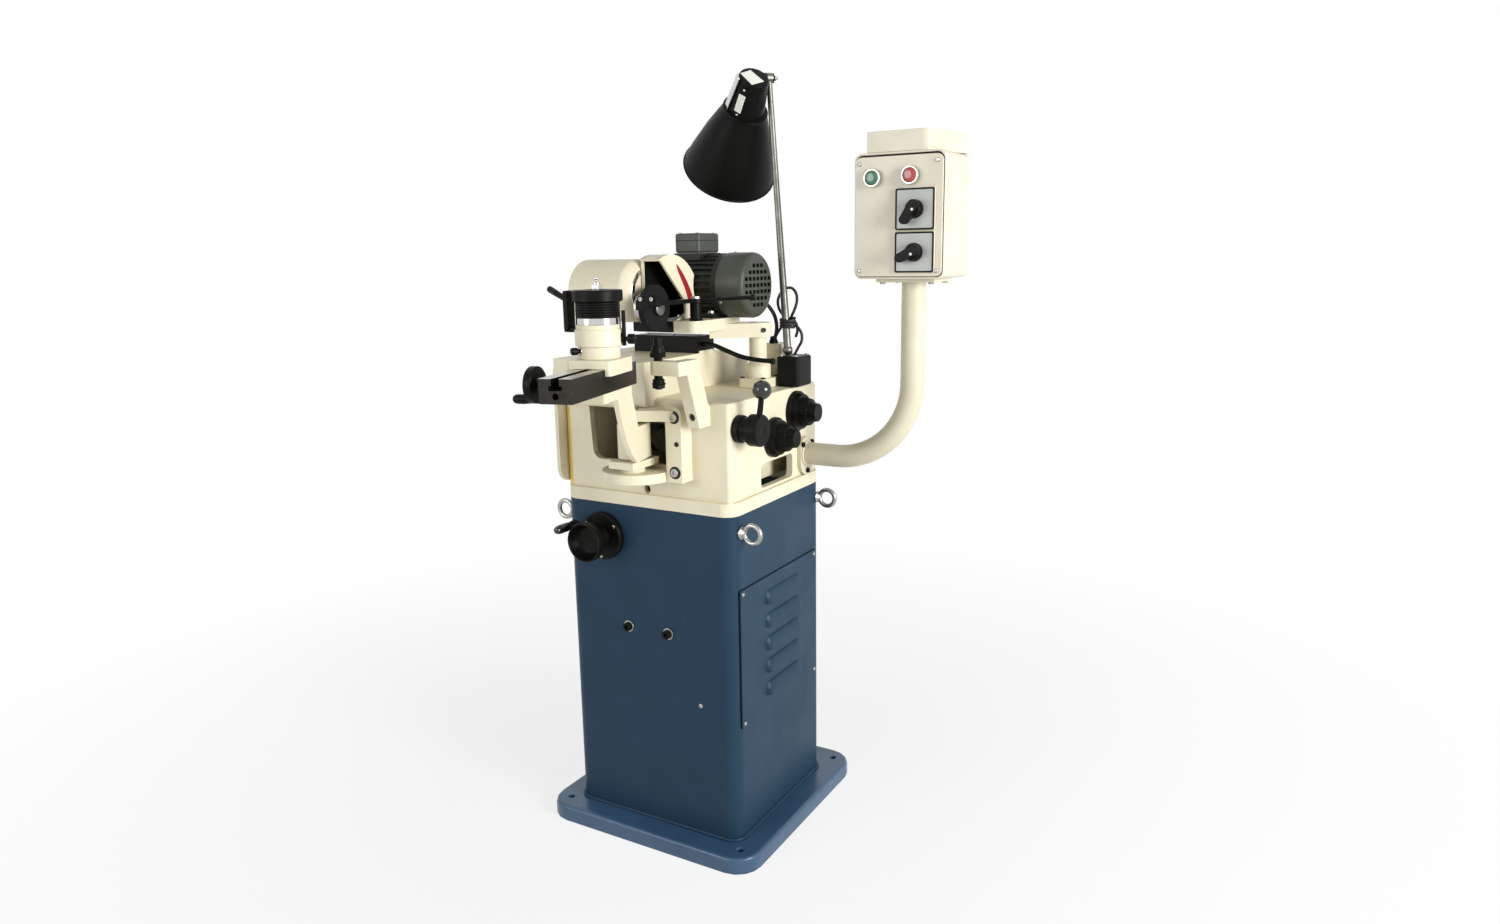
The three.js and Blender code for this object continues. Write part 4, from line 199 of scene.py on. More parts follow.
def smooth_route(route, steps=8):
    """Points in metres along a centripetal curve through a route in millimetres."""
    knots = [Vector(p) * MM for p in route]
    knots = [2 * knots[0] - knots[1], *knots, 2 * knots[-1] - knots[-2]]
    points = []
    for p0, p1, p2, p3 in zip(knots, knots[1:], knots[2:], knots[3:]):
        t0 = 0
        t1 = t0 + (p1 - p0).length ** 0.5
        t2 = t1 + (p2 - p1).length ** 0.5
        t3 = t2 + (p3 - p2).length ** 0.5
        for i in range(steps):
            t = t1 + (t2 - t1) * i / steps
            a1 = p0.lerp(p1, (t - t0) / (t1 - t0))
            a2 = p1.lerp(p2, (t - t1) / (t2 - t1))
            a3 = p2.lerp(p3, (t - t2) / (t3 - t2))
            b1 = a1.lerp(a2, (t - t0) / (t2 - t0))
            b2 = a2.lerp(a3, (t - t1) / (t3 - t1))
            points.append(b1.lerp(b2, (t - t1) / (t2 - t1)))
    return points + [knots[-2]]


def lead(node, route, diameter):
    """A lead on the machine, smooth through its route, that stands for the node."""
    name = "dressed_" + node
    curve = bpy.data.curves.new(name, "CURVE")
    curve.dimensions = "3D"
    curve.bevel_depth = diameter * MM / 2
    curve.bevel_resolution = 5
    curve.use_fill_caps = True
    points = smooth_route(route)
    spline = curve.splines.new("POLY")
    spline.points.add(len(points) - 1)
    for point, at in zip(spline.points, points):
        point.co = (*at, 1)
    curve.materials.append(rubber)
    obj = in_scene(name, curve)
    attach(obj, "machine")
    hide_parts(node)


lead("lamp_lead", [
    (167.7, 104.6, 1152), (166.5, 113, 1153), (159, 120, 1151), (149, 120, 1141), (145, 114, 1126),
    (150, 110, 1108), (163, 109, 1092), (180, 109, 1080), (195, 109, 1070), (204, 108, 1057),
    (204, 108, 1042), (196, 108, 1028), (188.5, 108, 1014), (187, 108, 1003),
], 6)
lead("motor_lead", [
    (128, 78.2, 1127.4), (129, 88, 1121.8), (134, 97, 1112), (141, 104, 1096), (143, 110, 1078),
    (139, 117, 1060), (132, 122, 1044), (128, 124, 1030), (128, 124, 1018.5),
], 8)


# Base plate
# Heavy cast slab under the cabinet, with four holes for floor bolts.
# Dark blue enamel, rolled on thickly, a little glossier than the cabinet's; it is lighter because the
# cabinet's copy of this blue is darkened as painted shade.
def paint(slot, colour, dirt, roughness, grain_mm, depth_mm, speck="#6d6a62", coat=0.0, shine=0.5, name=None):
    """Enamel over metal: faint grime in broad patches, fine grain from the spray, and specks of dust."""
    grime_mm, speck_mm, coat_roughness = 90, 9, 0.12
    gloss = {"Coat Weight": coat, "Coat Roughness": coat_roughness, "Specular IOR Level": shine}
    material, tree, shader, place = surface(slot, roughness, name=name, **gloss)
    grime = patches(tree, place, grime_mm, detail=5, spread=0.6)
    noise = add(tree, "ShaderNodeTexNoise", {
        "Vector": place, "Scale": 1 / (speck_mm * MM), "Detail": 4, "Roughness": 0.7}).outputs["Fac"]
    specks = add(tree, "ShaderNodeMapRange", {"Value": noise, "From Min": 0.7, "From Max": 0.8})
    base = blend_colours(tree, grime, colour, dirt)
    link(tree, blend_colours(tree, specks.outputs[0], base, speck), shader, "Base Color")
    link(tree, rough_between(tree, grime, roughness - 0.06, roughness + 0.1), shader, "Roughness")
    wave = bumps(tree, patches(tree, place, grain_mm * 6), depth_mm)
    link(tree, bumps(tree, patches(tree, place, grain_mm), depth_mm, wave), shader, "Normal")
    return material


def dress(node, finish, edge=0.0):
    """Gives a CAD node its finish, round edges of that many millimetres and smooth normals."""
    obj = cad[node]
    obj.data.materials.clear()
    obj.data.materials.append(finish)
    for polygon in obj.data.polygons:
        polygon.material_index = 0
        polygon.use_smooth = True
    weld = obj.modifiers.new("weld", "WELD")
    weld.merge_threshold = 0.02 * MM
    flat = obj.modifiers.new("flat faces", "DECIMATE")
    flat.decimate_type = "DISSOLVE"
    flat.angle_limit = math.radians(0.6)
    round_edges(obj, edge)


def round_edges(obj, edge):
    """Rounds the edges sharper than a turned surface's facets, and weights the normals by face."""
    if edge:
        bevel = obj.modifiers.new("edges", "BEVEL")
        bevel.width = edge * MM
        bevel.segments = 3
        bevel.limit_method = "ANGLE"
        bevel.angle_limit = math.radians(32)
        bevel.harden_normals = False
        bevel.miter_outer = "MITER_ARC"
    smooth = obj.modifiers.new("normals", "WEIGHTED_NORMAL")
    smooth.keep_sharp = True
    smooth.weight = 80


base_paint = paint("cabinet_paint", "#355775", "#2b4660", 0.32, 0.9, 0.02, coat=0.15)
dress("base_plate", base_paint, 6.0)


# Cabinet
# Welded sheet cabinet with round corners and an access panel on the right, in the same dark blue, darkened
# here as painted shade for its shaded front.
# It stands on a weld bead, and two black bolts hold the shelf from the front.
to_front, to_left, to_right, to_top, to_bottom = (0, -1, 0), (-1, 0, 0), (1, 0, 0), (0, 0, 1), (0, 0, -1)


def turns(count):
    """The angles of a full turn in so many steps."""
    return [2 * math.pi * i / count for i in range(count)]


def skinned(rings, sides, closed):
    """A skin over rings of points; its ends are filled, or closed joins the last ring to the first."""
    shape = bmesh.new()
    rings = [[shape.verts.new(point) for point in ring] * (sides // len(ring)) for ring in rings]
    for low, high in zip(rings, rings[1:] + (rings[:1] if closed else [])):
        for i in range(sides):
            j = (i + 1) % sides
            corners = list(dict.fromkeys((low[i], low[j], high[j], high[i])))
            if len(corners) > 2:
                shape.faces.new(corners)
    if not closed:
        for ring in (rings[0][::-1], rings[-1]):
            if ring[0] is not ring[1]:
                shape.faces.new(ring)
    return shape


def turned(profile, at=(0, 0, 0), direction=to_top, sides=72, closed=False):
    """A turned shape from (radius, height) pairs, foot first; closed joins the last pair to the first."""
    rings = []
    for radius, height in profile:
        angles = turns(sides) if radius else [0]
        rings.append([(radius * math.cos(a), radius * math.sin(a), height) for a in angles])
    shape = skinned(rings, sides, closed)
    way = Vector(direction).normalized()
    shape.transform(Matrix.Translation(at) @ Vector(to_top).rotation_difference(way).to_matrix().to_4x4())
    return shape


def rod(radius, start, end, sides):
    way = Vector(end) - Vector(start)
    return turned([(radius, 0), (radius, way.length)], start, way, sides)


def drawn(outline, axis, low, high):
    """An outline drawn out along an axis: (y, z) pairs along X, (x, z) along Y, (x, y) along Z."""
    shape = bmesh.new()
    spots = {"X": lambda a, b, c: (c, a, b), "Y": lambda a, b, c: (a, c, b), "Z": lambda a, b, c: (a, b, c)}
    ends = [[shape.verts.new(spots[axis](a, b, c)) for a, b in outline] for c in (low, high)]
    shape.faces.new(ends[0])
    shape.faces.new(ends[1][::-1])
    for i in range(len(outline)):
        j = (i + 1) % len(outline)
        shape.faces.new((ends[0][i], ends[0][j], ends[1][j], ends[1][i]))
    bmesh.ops.recalc_face_normals(shape, faces=shape.faces[:])
    return shape


def arc(a, b, radius, start, end, steps=24):
    """Points of an arc round (a, b), from the start angle to the end angle in degrees."""
    angles = [math.radians(start + (end - start) * i / steps) for i in range(steps + 1)]
    return [(a + radius * math.cos(t), b + radius * math.sin(t)) for t in angles]


def rounded(a0, a1, b0, b1, radius, steps=10):
    """A rectangle with round corners."""
    left, right, low, high = a0 + radius, a1 - radius, b0 + radius, b1 - radius
    corners = ((right, low, -90), (right, high, 0), (left, high, 90), (left, low, 180))
    return [point for a, b, start in corners for point in arc(a, b, radius, start, start + 90, steps)]


def block(x0, x1, y0, y1, z0, z1):
    return drawn([(x0, y0), (x1, y0), (x1, y1), (x0, y1)], "Z", z0, z1)


def bar(points, radii, sides=24, closed=False):
    """A round bar through points; radii is one radius, or one for each point."""
    points = [Vector(p) for p in points]
    count = len(points)
    radii = radii if isinstance(radii, (list, tuple)) else [radii] * count
    rings = []
    side = None
    for i, point in enumerate(points):
        before = points[i - 1] if closed or i else points[0]
        after = points[(i + 1) % count] if closed or i + 1 < count else points[-1]
        way = (after - before).normalized()
        if side is None:
            side = way.orthogonal().normalized()
        side = (side - way * side.dot(way)).normalized()
        up = way.cross(side)
        rings.append([point + (side * math.cos(a) + up * math.sin(a)) * radii[i] for a in turns(sides)])
    shape = skinned(rings, sides, closed)
    bmesh.ops.recalc_face_normals(shape, faces=shape.faces[:])
    return shape


def ball(radius, at, steps=24):
    angles = [math.pi * i / steps for i in range(1, steps)]
    profile = [(radius * math.sin(a), -radius * math.cos(a)) for a in angles]
    return turned([(0, -radius), *profile, (0, radius)], at, sides=steps * 2)


def together(*shapes):
    """One mesh of several shapes, as they are."""
    whole = bmesh.new()
    for shape in shapes:
        mesh = bpy.data.meshes.new("part")
        shape.to_mesh(mesh)
        whole.from_mesh(mesh)
        bpy.data.meshes.remove(mesh)
    return whole


def cut(shape, *tools):
    """The shape less the tools."""
    objects = []
    for part in (shape, *tools):
        mesh = bpy.data.meshes.new("part")
        part.to_mesh(mesh)
        objects.append(in_scene("part", mesh))
    for tool in objects[1:]:
        boolean = objects[0].modifiers.new("cut", "BOOLEAN")
        boolean.operation = "DIFFERENCE"
        boolean.object = tool
        boolean.solver = "EXACT"
    result = bmesh.new()
    result.from_object(objects[0], bpy.context.evaluated_depsgraph_get())
    for obj in objects:
        mesh = obj.data
        bpy.data.objects.remove(obj)
        bpy.data.meshes.remove(mesh)
    return result


def piece(name, shape, finish, body="machine", instead_of=None, edge=0.5, place=None):
    """A look piece on a body, from a shape in millimetres; instead_of is the CAD node it stands for."""
    mesh = bpy.data.meshes.new(name)
    if place is not None:
        shape.transform(place)
    shape.transform(Matrix.Scale(MM, 4))
    shape.to_mesh(mesh)
    for polygon in mesh.polygons:
        polygon.use_smooth = True
    mesh.materials.append(finish)
    obj = in_scene(name, mesh)
    round_edges(obj, edge)
    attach(obj, body)
    if instead_of:
        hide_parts(instead_of)


def bolt(at, direction, radius, height, head="hex", washer=0.0):
    """A bolt head on a face, with a washer of that thickness: hex, socket, pan or slotted."""
    way = Vector(direction).normalized()
    foot = Vector(at) + way * washer
    parts = [turned([(radius * 1.55, 0), (radius * 1.55, washer)], at, way)] if washer else []
    if head == "hex":
        shoulder = height * 0.84
        flats = [(radius * 1.12, 0), (radius * 1.12, shoulder), (radius, height)]
        crown = [(radius * 0.9, shoulder), (radius * 0.86, height + 0.2)]
        parts += [turned(flats, foot, way, 6), turned(crown, foot, way, 48)]
    elif head == "socket":
        hole, hole_floor = radius * 0.52, height * 0.4
        profile = [
            (radius, 0), (radius, height - 0.6), (radius - 0.6, height), (hole, height), (hole, hole_floor),
            (0, hole_floor)]
        parts.append(turned(profile, foot, way))
    else:
        dome_shares = ((1, 0), (1, 0.35), (0.93, 0.65), (0.75, 0.88), (0.4, 1))
        pan = turned([(radius * across, height * up) for across, up in dome_shares], foot, way)
        if head == "slotted":
            middle = foot + way * height
            across = way.orthogonal().normalized() * radius * 1.3
            pan = cut(pan, bar([middle - across, middle + across], radius * 0.2, 4))
        parts.append(pan)
    return together(*parts)


def metal(slot, colour, dull, low, high, grain_mm=1.2, depth_mm=0.01, name=None):
    """Bare or plated metal: a faint tone in patches, and gloss that varies with handling."""
    material, tree, shader, place = surface(slot, low, 1.0, name)
    wear = patches(tree, place, 22, detail=6, spread=0.7)
    link(tree, blend_colours(tree, wear, colour, dull), shader, "Base Color")
    link(tree, rough_between(tree, wear, low, high), shader, "Roughness")
    link(tree, bumps(tree, patches(tree, place, grain_mm), depth_mm), shader, "Normal")
    return material


steel = metal("steel", "#b9b9b6", "#8d8b86", 0.22, 0.42)


def bolts(name, places, direction, radius, height, head, body="machine", finish=steel, edge=0.2, washer=0.0):
    """The same bolt at each of the places, as one look piece."""
    heads = [bolt(at, direction, radius, height, head, washer) for at in places]
    piece(name, together(*heads), finish, body, edge=edge)


black_paint = paint("black_paint", "#0b0b09", "#12120f", 0.36, 0.7, 0.02, "#2c2b27", shine=0.1)
# The cabinet's blue is a darker copy of the base plate's: painted shade, standing for the shade on the
# cabinet's front.
cabinet_paint = paint("cabinet_paint", "#213a4e", "#1c3346", 0.4, 0.9, 0.02, shine=0.16)
dress("cabinet_shell", cabinet_paint, 1.2)
cabinet_half_width, cabinet_half_depth, cabinet_corner, cabinet_foot = 206.5, 193, 30, 37.5
bead_radius, bead_gap = 4, 1
bead_x, bead_y = cabinet_half_width + bead_gap, cabinet_half_depth + bead_gap
bead_route = [(x, y, cabinet_foot) for x, y in rounded(-bead_x, bead_x, -bead_y, bead_y, cabinet_corner, 8)]
piece("cabinet_weld_bead", bar(bead_route, bead_radius, 12, closed=True), cabinet_paint, edge=0)
shelf_height, washer_height = 463.5, 1.8
shelf_washer = [(12.4, 0), (12.4, 1.2), (11.6, washer_height)]
washer_places = [(x, -cabinet_half_depth, shelf_height) for x in (-51.6, 47.2)]
washers = [turned(shelf_washer, at, to_front) for at in washer_places]
piece("shelf_washers", together(*washers), steel, edge=0.2)
bolt_places = [(x, y - washer_height, z) for x, y, z in washer_places]
bolts("shelf_bolts", bolt_places, to_front, 9.6, 7, "socket", finish=black_paint, edge=0.3)
bolts("cabinet_screw", [(123.2, -cabinet_half_depth, 321.9)], to_front, 5, 2.4, "slotted")


# Louvred panel
# Pressed steel panel with five louvres, over the access opening of the cabinet's right side.
# Four small screws hold its corners, and a dark joint shows round it; the same dark blue enamel.
panel_front, panel_rear, panel_bottom, panel_top, panel_back, panel_face = -172, 160, 281, 573, 206.8, 209.8
panel_corner, joint_width, panel_screw_inset = 3, 1.2, 9
louvre_front, louvre_rear, louvre_height, louvre_bulge, louvre_end = -71, 80, 28, 8.8, 13
louvre_count, first_louvre, louvre_pitch, louvre_slot_inset = 5, 315, 50, 12
louvre_back = panel_face - 1.2
panel_sink = 0.3


def louvre(foot, across=48, up=12):
    """A pressed hood: flat and open below, rounded to its top and its two ends."""
    shape = bmesh.new()
    skin, back = [], []
    for j in range(up + 1):
        rise = math.sin(math.pi / 2 * j / up)
        skin.append([])
        back.append([])
        for i in range(across + 1):
            y = louvre_front + (louvre_rear - louvre_front) * i / across
            z = foot + louvre_height * rise
            end = max(0.0, 1 - min(y - louvre_front, louvre_rear - y) / louvre_end)
            bulge = louvre_bulge * math.sqrt(max(0.0, 1 - rise * rise - end * end)) - panel_sink
            skin[-1].append(shape.verts.new((panel_face + bulge, y, z)))
            back[-1].append(shape.verts.new((louvre_back, y, z)))
    for j in range(up):
        for i in range(across):
            shape.faces.new((skin[j][i], skin[j][i + 1], skin[j + 1][i + 1], skin[j + 1][i]))
            shape.faces.new((back[j][i], back[j + 1][i], back[j + 1][i + 1], back[j][i + 1]))
    rim = [(0, i) for i in range(across)] + [(j, across) for j in range(up)]
    rim += [(up, i) for i in range(across, 0, -1)] + [(j, 0) for j in range(up, 0, -1)]
    for (j0, i0), (j1, i1) in zip(rim, rim[1:] + rim[:1]):
        shape.faces.new((skin[j0][i0], back[j0][i0], back[j1][i1], skin[j1][i1]))
    bmesh.ops.recalc_face_normals(shape, faces=shape.faces[:])
    return shape


def panel_outline(out, corner):
    """The panel's outline, so far outside its edge."""
    return rounded(panel_front - out, panel_rear + out, panel_bottom - out, panel_top + out, corner)


sheet = drawn(panel_outline(0, panel_corner), "X", panel_back, panel_face)
piece("panel_sheet", sheet, cabinet_paint, "machine", "louvre_panel", edge=0.6)
louvre_feet = [first_louvre + louvre_pitch * i for i in range(louvre_count)]
piece("panel_louvres", together(*[louvre(foot) for foot in louvre_feet]), cabinet_paint, edge=0)
# Black blocks in the louvres' open bottoms: painted shade for the dark inside of the cabinet seen through
# them.
slot_ends = (louvre_front + louvre_slot_inset, louvre_rear - louvre_slot_inset)
louvre_shade_blocks = [block(panel_face, panel_face + 6, *slot_ends, foot - 0.3, foot + 0.4) for foot in louvre_feet]
piece("panel_louvre_slot_shade", together(*louvre_shade_blocks), black_paint, edge=0)
joint = drawn(panel_outline(joint_width, panel_corner + 1), "X", 206.6, 207.2)
piece("panel_joint", joint, black_paint, edge=0)
screw_places = [
    (panel_face, y, z) for y in (panel_front + panel_screw_inset, panel_rear - panel_screw_inset)
    for z in (panel_bottom + panel_screw_inset, panel_top - panel_screw_inset)]
bolts("panel_screws", screw_places, to_right, 4.6, 2.4, "slotted")


# Lifting eyes
# Forged ring bolts, two to a side near the top of the cabinet, zinc plated and dulled.
eye_wall, eye_height = 206.8, 690
ring_radius, ring_bar, collar_radius, collar_length = 18, 5, 13, 7


def lifting_eye(name, side, y):
    middle = side * (eye_wall + collar_length + ring_radius)
    ring = [
        (middle + ring_radius * math.cos(a), y, eye_height + ring_radius * math.sin(a)) for a in turns(48)]
    profile = [
        (collar_radius, 0), (collar_radius, collar_length * 0.4), (collar_radius * 0.62, collar_length),
        (ring_bar, collar_length + 3)]
    collar = turned(profile, (side * eye_wall, y, eye_height), (side, 0, 0))
    forging = together(bar(ring, ring_bar, 20, closed=True), collar)
    piece(name + "_forging", forging, steel, "machine", name, edge=0.6)


for side_name, side in (("right", 1), ("left", -1)):
    for end_name, y in (("front", -161.5), ("rear", 174.6)):
        lifting_eye(f"lift_eye_{side_name}_{end_name}", side, y)


# Body casting
# Hollow iron casting on the cabinet, with a raised block on the left and openings to the mechanism.
# Cream enamel over filler, with faint grime in broad patches; a yellow stripe marks its front left edge.
cream_paint = paint("cream_paint", "#e4ddc4", "#d8cfb1", 0.4, 1.4, 0.035, "#8b8473", coat=0.1, shine=0.35)
dress("body_casting", cream_paint, 1.6)
yellow = paint("cream_paint", "#e6c55c", "#d4b04a", 0.45, 1.0, 0.02, name="yellow_stripe")
stripe_x, stripe_y, stripe_inside, stripe_outside, stripe_end = -190.5, -177, 8.6, 9.35, -187
stripe = [
    *arc(stripe_x, stripe_y, stripe_outside, 212, 270, 8), (stripe_end, stripe_y - stripe_outside),
    (stripe_end, stripe_y - stripe_inside), *arc(stripe_x, stripe_y, stripe_inside, 270, 212, 8)]
piece("edge_stripe", drawn(stripe, "Z", 754, 918), yellow, edge=0)
bearing_y, bearing_z = -20, 783
boss = turned([(15, 0), (15, 6)], (136, bearing_y, bearing_z), to_right)
bearing_bolt = bolt((142, bearing_y, bearing_z), to_right, 12, 9, "hex", 3)
piece("inner_bearing_bolt", together(bearing_bolt, boss), black_paint, edge=0.4)
black_plastic = paint("black_plastic", "#0b0b0a", "#11110f", 0.38, 0.6, 0.02, "#2c2b27", shine=0.11)
gland_at = (128, 124, 1034)
gland_nut = turned([(10.5, 0), (10.5, 5), (9.4, 6)], gland_at, sides=6)
gland_neck = turned([(9.5, 0), (9.5, 5), (8.2, 6.5), (7.2, 12), (5.2, 15)], gland_at)
piece("motor_gland", together(gland_nut, gland_neck), black_plastic, edge=0.4)


# Left cover
# Flat plate over the belt side of the body, held by six screws; the same cream enamel.
dress("left_cover", cream_paint, 1.2)
cover_face = -208.8
cover_screws = ((-190, 790), (-190, 985), (0, 775), (0, 1003), (160, 790), (160, 975))
bolts("cover_screws", [(cover_face, y, z) for y, z in cover_screws], to_left, 6, 3.5, "socket")


# Hinge bracket
# Casting on the body's front wall with lugs for the table's pin, in cream enamel.
# Bright socket screws sit in counterbores shown as dark discs: painted shade, as is the small dark hole
# beside them.
dress("hinge_bracket", cream_paint, 1.8)
dark_steel = metal("dark_steel", "#3a3a39", "#262626", 0.3, 0.48)
bracket_face, bracket_screw_x, bracket_screw_heights = -223, 98, (920, 812)
wide_bore, small_bore = [(12.5, 0), (12.5, 0.6), (9.2, 0.8)], [(5, 0), (5, 0.5), (3.4, 0.6)]
# Flat dark discs on the face: painted shade for the insides of the counterbores and the small hole.
counterbore_shade_discs = [turned(wide_bore, (bracket_screw_x, bracket_face, z), to_front) for z in bracket_screw_heights]
counterbore_shade_discs.append(turned(small_bore, (103, bracket_face, 868), to_front))
piece("bracket_counterbore_shade", together(*counterbore_shade_discs), dark_steel, edge=0)
screw_places = [(bracket_screw_x, bracket_face - 0.4, z) for z in bracket_screw_heights]
bolts("bracket_screws", screw_places, to_front, 8.4, 4, "socket")
pin_x, pin_y = 9, -238
pin_profile = [
    (10, 794), (10, 933.3), (14.2, 933.3), (15, 934), (15, 937.6), (13.6, 939.3), (4.5, 939.3), (4.5, 936),
    (0, 936)]
piece("hinge_pin_turned", turned(pin_profile, (pin_x, pin_y, 0)), steel, "machine", "hinge_pin", edge=0.2)


# Swinging table
# Cream arm on the hinge pin, and the black rail it carries, with a ground top and a T slot.
# What stands on the rail is drawn in the table's own directions, from the pin's axis.
table_swing = 14.63
table_place = Matrix.Translation((pin_x, pin_y, 0)) @ Matrix.Rotation(math.radians(table_swing), 4, "Z")
dress("swing_arm", cream_paint, 1.8)
rail_finish, tree, shader, place = surface("dark_steel", 0.34, 1.0, "dark_steel ground on top")
rail_top = max(corner[2] for corner in cad["rail"].bound_box)
height = add(tree, "ShaderNodeSeparateXYZ", {"Vector": place}).outputs["Z"]
ground = add(tree, "ShaderNodeMath", {0: height, 1: rail_top - 0.3 * MM}, operation="GREATER_THAN").outputs[0]
oil = patches(tree, place, 14, detail=5, spread=0.6)
dark_sides = blend_colours(tree, oil, "#2b2a26", "#383632")
bright_top = blend_colours(tree, oil, "#cfcecb", "#a9a7a0")
link(tree, blend_colours(tree, ground, dark_sides, bright_top), shader, "Base Color")
link(tree, rough_between(tree, oil, 0.26, 0.42), shader, "Roughness")
link(tree, bumps(tree, patches(tree, place, 1.0), 0.012), shader, "Normal")
dress("rail", rail_finish, 0.7)


def table_piece(name, shape, finish, body, instead_of=None, edge=0.5):
    """A look piece drawn in the table's own directions."""
    piece(name, shape, finish, body, instead_of, edge, table_place)


# Carriage
# Cream saddle that slides on the rail, with the stepped housing of the blade arbor standing on it.
# A black clamp lever stands at its left, and a black stop strip and knob at its right.
dress("carriage", cream_paint, 1.4)
tower_y = -136
tower = (0, tower_y, 0)
housing = turned([
    (37, 1046.1), (37, 1066.5), (38.5, 1068), (41.5, 1068), (42.5, 1069), (42.5, 1097), (41.5, 1098),
    (40, 1098), (40, 1106)], tower, sides=96)
table_piece("arbor_housing_turned", housing, cream_paint, "carriage", "arbor_housing", edge=0.4)
side_plate = drawn(rounded(-151, -121, 1092, 1165, 6), "X", -60, -51)
side_plate_foot = block(-54, -36, -148, -124, 1092, 1100)
table_piece("clamp_side_plate", together(side_plate, side_plate_foot), black_paint, "carriage", edge=1.0)
lever_end, lever_end_radius = (-60, -373, 1166), 6.2
lever_route = [(-10, -383, 1146), (-24, -380, 1151.5), (-44, -376, 1159.5), lever_end]
lever = together(bar(lever_route, [4.4, 5, 5.8, lever_end_radius]), ball(lever_end_radius, lever_end))
piece("clamp_lever", lever, black_plastic, "carriage", edge=0)
knob_way = (-0.5, -0.86, 0)
knob = [(4, 0), (4, 4), (6, 4.5), (6.6, 6), (6.6, 15), (5.6, 16.5), (0, 17)]
piece("housing_left_knob", turned(knob, (24.6, -401.2, 1060), knob_way), black_plastic, "carriage", edge=0.3)
knob_washer = turned([(9, 0), (9, 2)], (25, -400.4, 1060), knob_way)
piece("housing_left_washer", knob_washer, steel, "carriage", edge=0.2)
strip_upright, strip_foot = block(45, 50, -138, -130, 1068, 1130), block(36, 46, -138, -130, 1074, 1090)
table_piece("stop_strip", together(strip_upright, strip_foot), black_paint, "carriage", edge=1.0)
stop_knob = [(4, 0), (4, 5), (8.4, 5.5), (9, 7), (9, 16), (7.8, 18), (0, 18.5)]
table_piece("stop_knob", turned(stop_knob, (50, -134, 1080), to_right), black_plastic, "carriage", edge=0.3)


# Blade arbor
# Chromed ring, black grooved sleeve and black clamp flange, drawn down by a bright nut on the stud.
chrome = metal("steel", "#d6d6d4", "#b8b8b5", 0.08, 0.2, 2.0, 0.004, name="chrome plating")
ring = [(39.5, 1106.3), (39.5, 1117), (38.8, 1118), (20, 1118)]
table_piece("arbor_ring", turned(ring, tower, sides=96), chrome, "arbor", "arbor_spindle", edge=0.4)
groove_count, groove_pitch, sleeve_foot, sleeve_top = 6, 4.5, 1118, 1145
sleeve = [(37, sleeve_foot)]
for i in range(groove_count):
    foot = sleeve_foot + i * groove_pitch
    sleeve += [(37.8, foot), (39.5, foot + 0.8), (39.5, foot + 3.4), (37.8, foot + 4.2)]
sleeve += [(37, sleeve_top), (8, sleeve_top)]
table_piece("arbor_sleeve", turned(sleeve, tower, sides=96), black_paint, "arbor", edge=0)
flange = [(42, 1145.3), (45, 1147.2), (45, 1164), (43.4, 1166), (20, 1166), (19, 1165.2), (8.4, 1165.2)]
pin_circle, pin_radius, first_pin = 28, 3, 0.4
pin_holes = []
for a in (first_pin + 2 * math.pi * i / 3 for i in range(3)):
    hole_x, hole_y = pin_circle * math.cos(a), tower_y + pin_circle * math.sin(a)
    pin_holes.append(rod(pin_radius, (hole_x, hole_y, 1158), (hole_x, hole_y, 1172), 20))
clamp_flange = cut(turned(flange, tower, sides=96), *pin_holes)
table_piece("clamp_flange_turned", clamp_flange, black_paint, "arbor", "clamp_flange", edge=0.4)
nut = turned([(10.5, 1166.3), (10.5, 1173.6), (9.5, 1175)], tower, sides=6)
stud = turned([
    (6, 1160), (6, 1178.4), (5.2, 1179.4), (3.2, 1180.2), (2.6, 1181.6), (2.9, 1183), (3.6, 1184.4),
    (3.2, 1186.6), (1.8, 1187.8), (0, 1188)], tower)
table_piece("clamp_nut_turned", together(nut, stud), chrome, "arbor", "clamp_nut", edge=0.6)


# Rail handwheel
# Black dished wheel with a turning grip; its shaft carries the pinion inside the rail.
wheel_at, grip_at = (0, -253, 1011), (0, -253, 986)
wheel = turned([
    (7, -12), (7, 35), (12, 35), (12, 60), (14, 62), (30, 62), (32, 64), (32, 76), (30.5, 78), (28, 78),
    (27, 76.5), (26.5, 70), (24, 68), (14.5, 67), (12, 69), (12, 76.5), (10.8, 78), (4, 78), (4, 76),
    (0, 76)], wheel_at, to_left, 96)
wheel = together(wheel, turned([(6, 66), (6, 78.2)], grip_at, to_left))
table_piece("rail_handwheel_turned", wheel, black_paint, "rail_wheel", "rail_handwheel", edge=0.4)
grip = turned([
    (4, 62.3), (4, 78.3), (6.5, 78.3), (7.4, 80), (8.5, 92), (8.5, 103), (7.6, 108), (5.5, 111),
    (2.5, 112)], grip_at, to_left)
table_piece("rail_grip_turned", grip, black_plastic, "rail_grip", "rail_handwheel_grip", edge=0)
collar = [(15, 30.4), (15, 34), (13.6, 35)]
table_piece("rail_shaft_collar", turned(collar, wheel_at, to_left), steel, "rail_wheel", edge=0.2)


# Column
# Post that the grinding head swings on: a foot plate on four screws, a boss, and a capped round post.
column_x, column_y, foot_plate_top = 128, 55, 968
post = turned([
    (26.5, 958), (26.5, 993), (25, 996), (18.5, 1001), (18.5, 1079), (17, 1081.5), (14, 1084)],
    (column_x, column_y, 0))
foot_plate = drawn(rounded(98, 162, 20, 90, 8), "Z", 948.3, foot_plate_top)
piece("column_casting", together(foot_plate, post), cream_paint, "machine", "column", edge=1.2)
screw_places = [(x, y, foot_plate_top) for x in (105.5, 154.5) for y in (27.5, 82.5)]
bolts("column_screws", screw_places, to_top, 5, 3, "socket", finish=dark_steel)


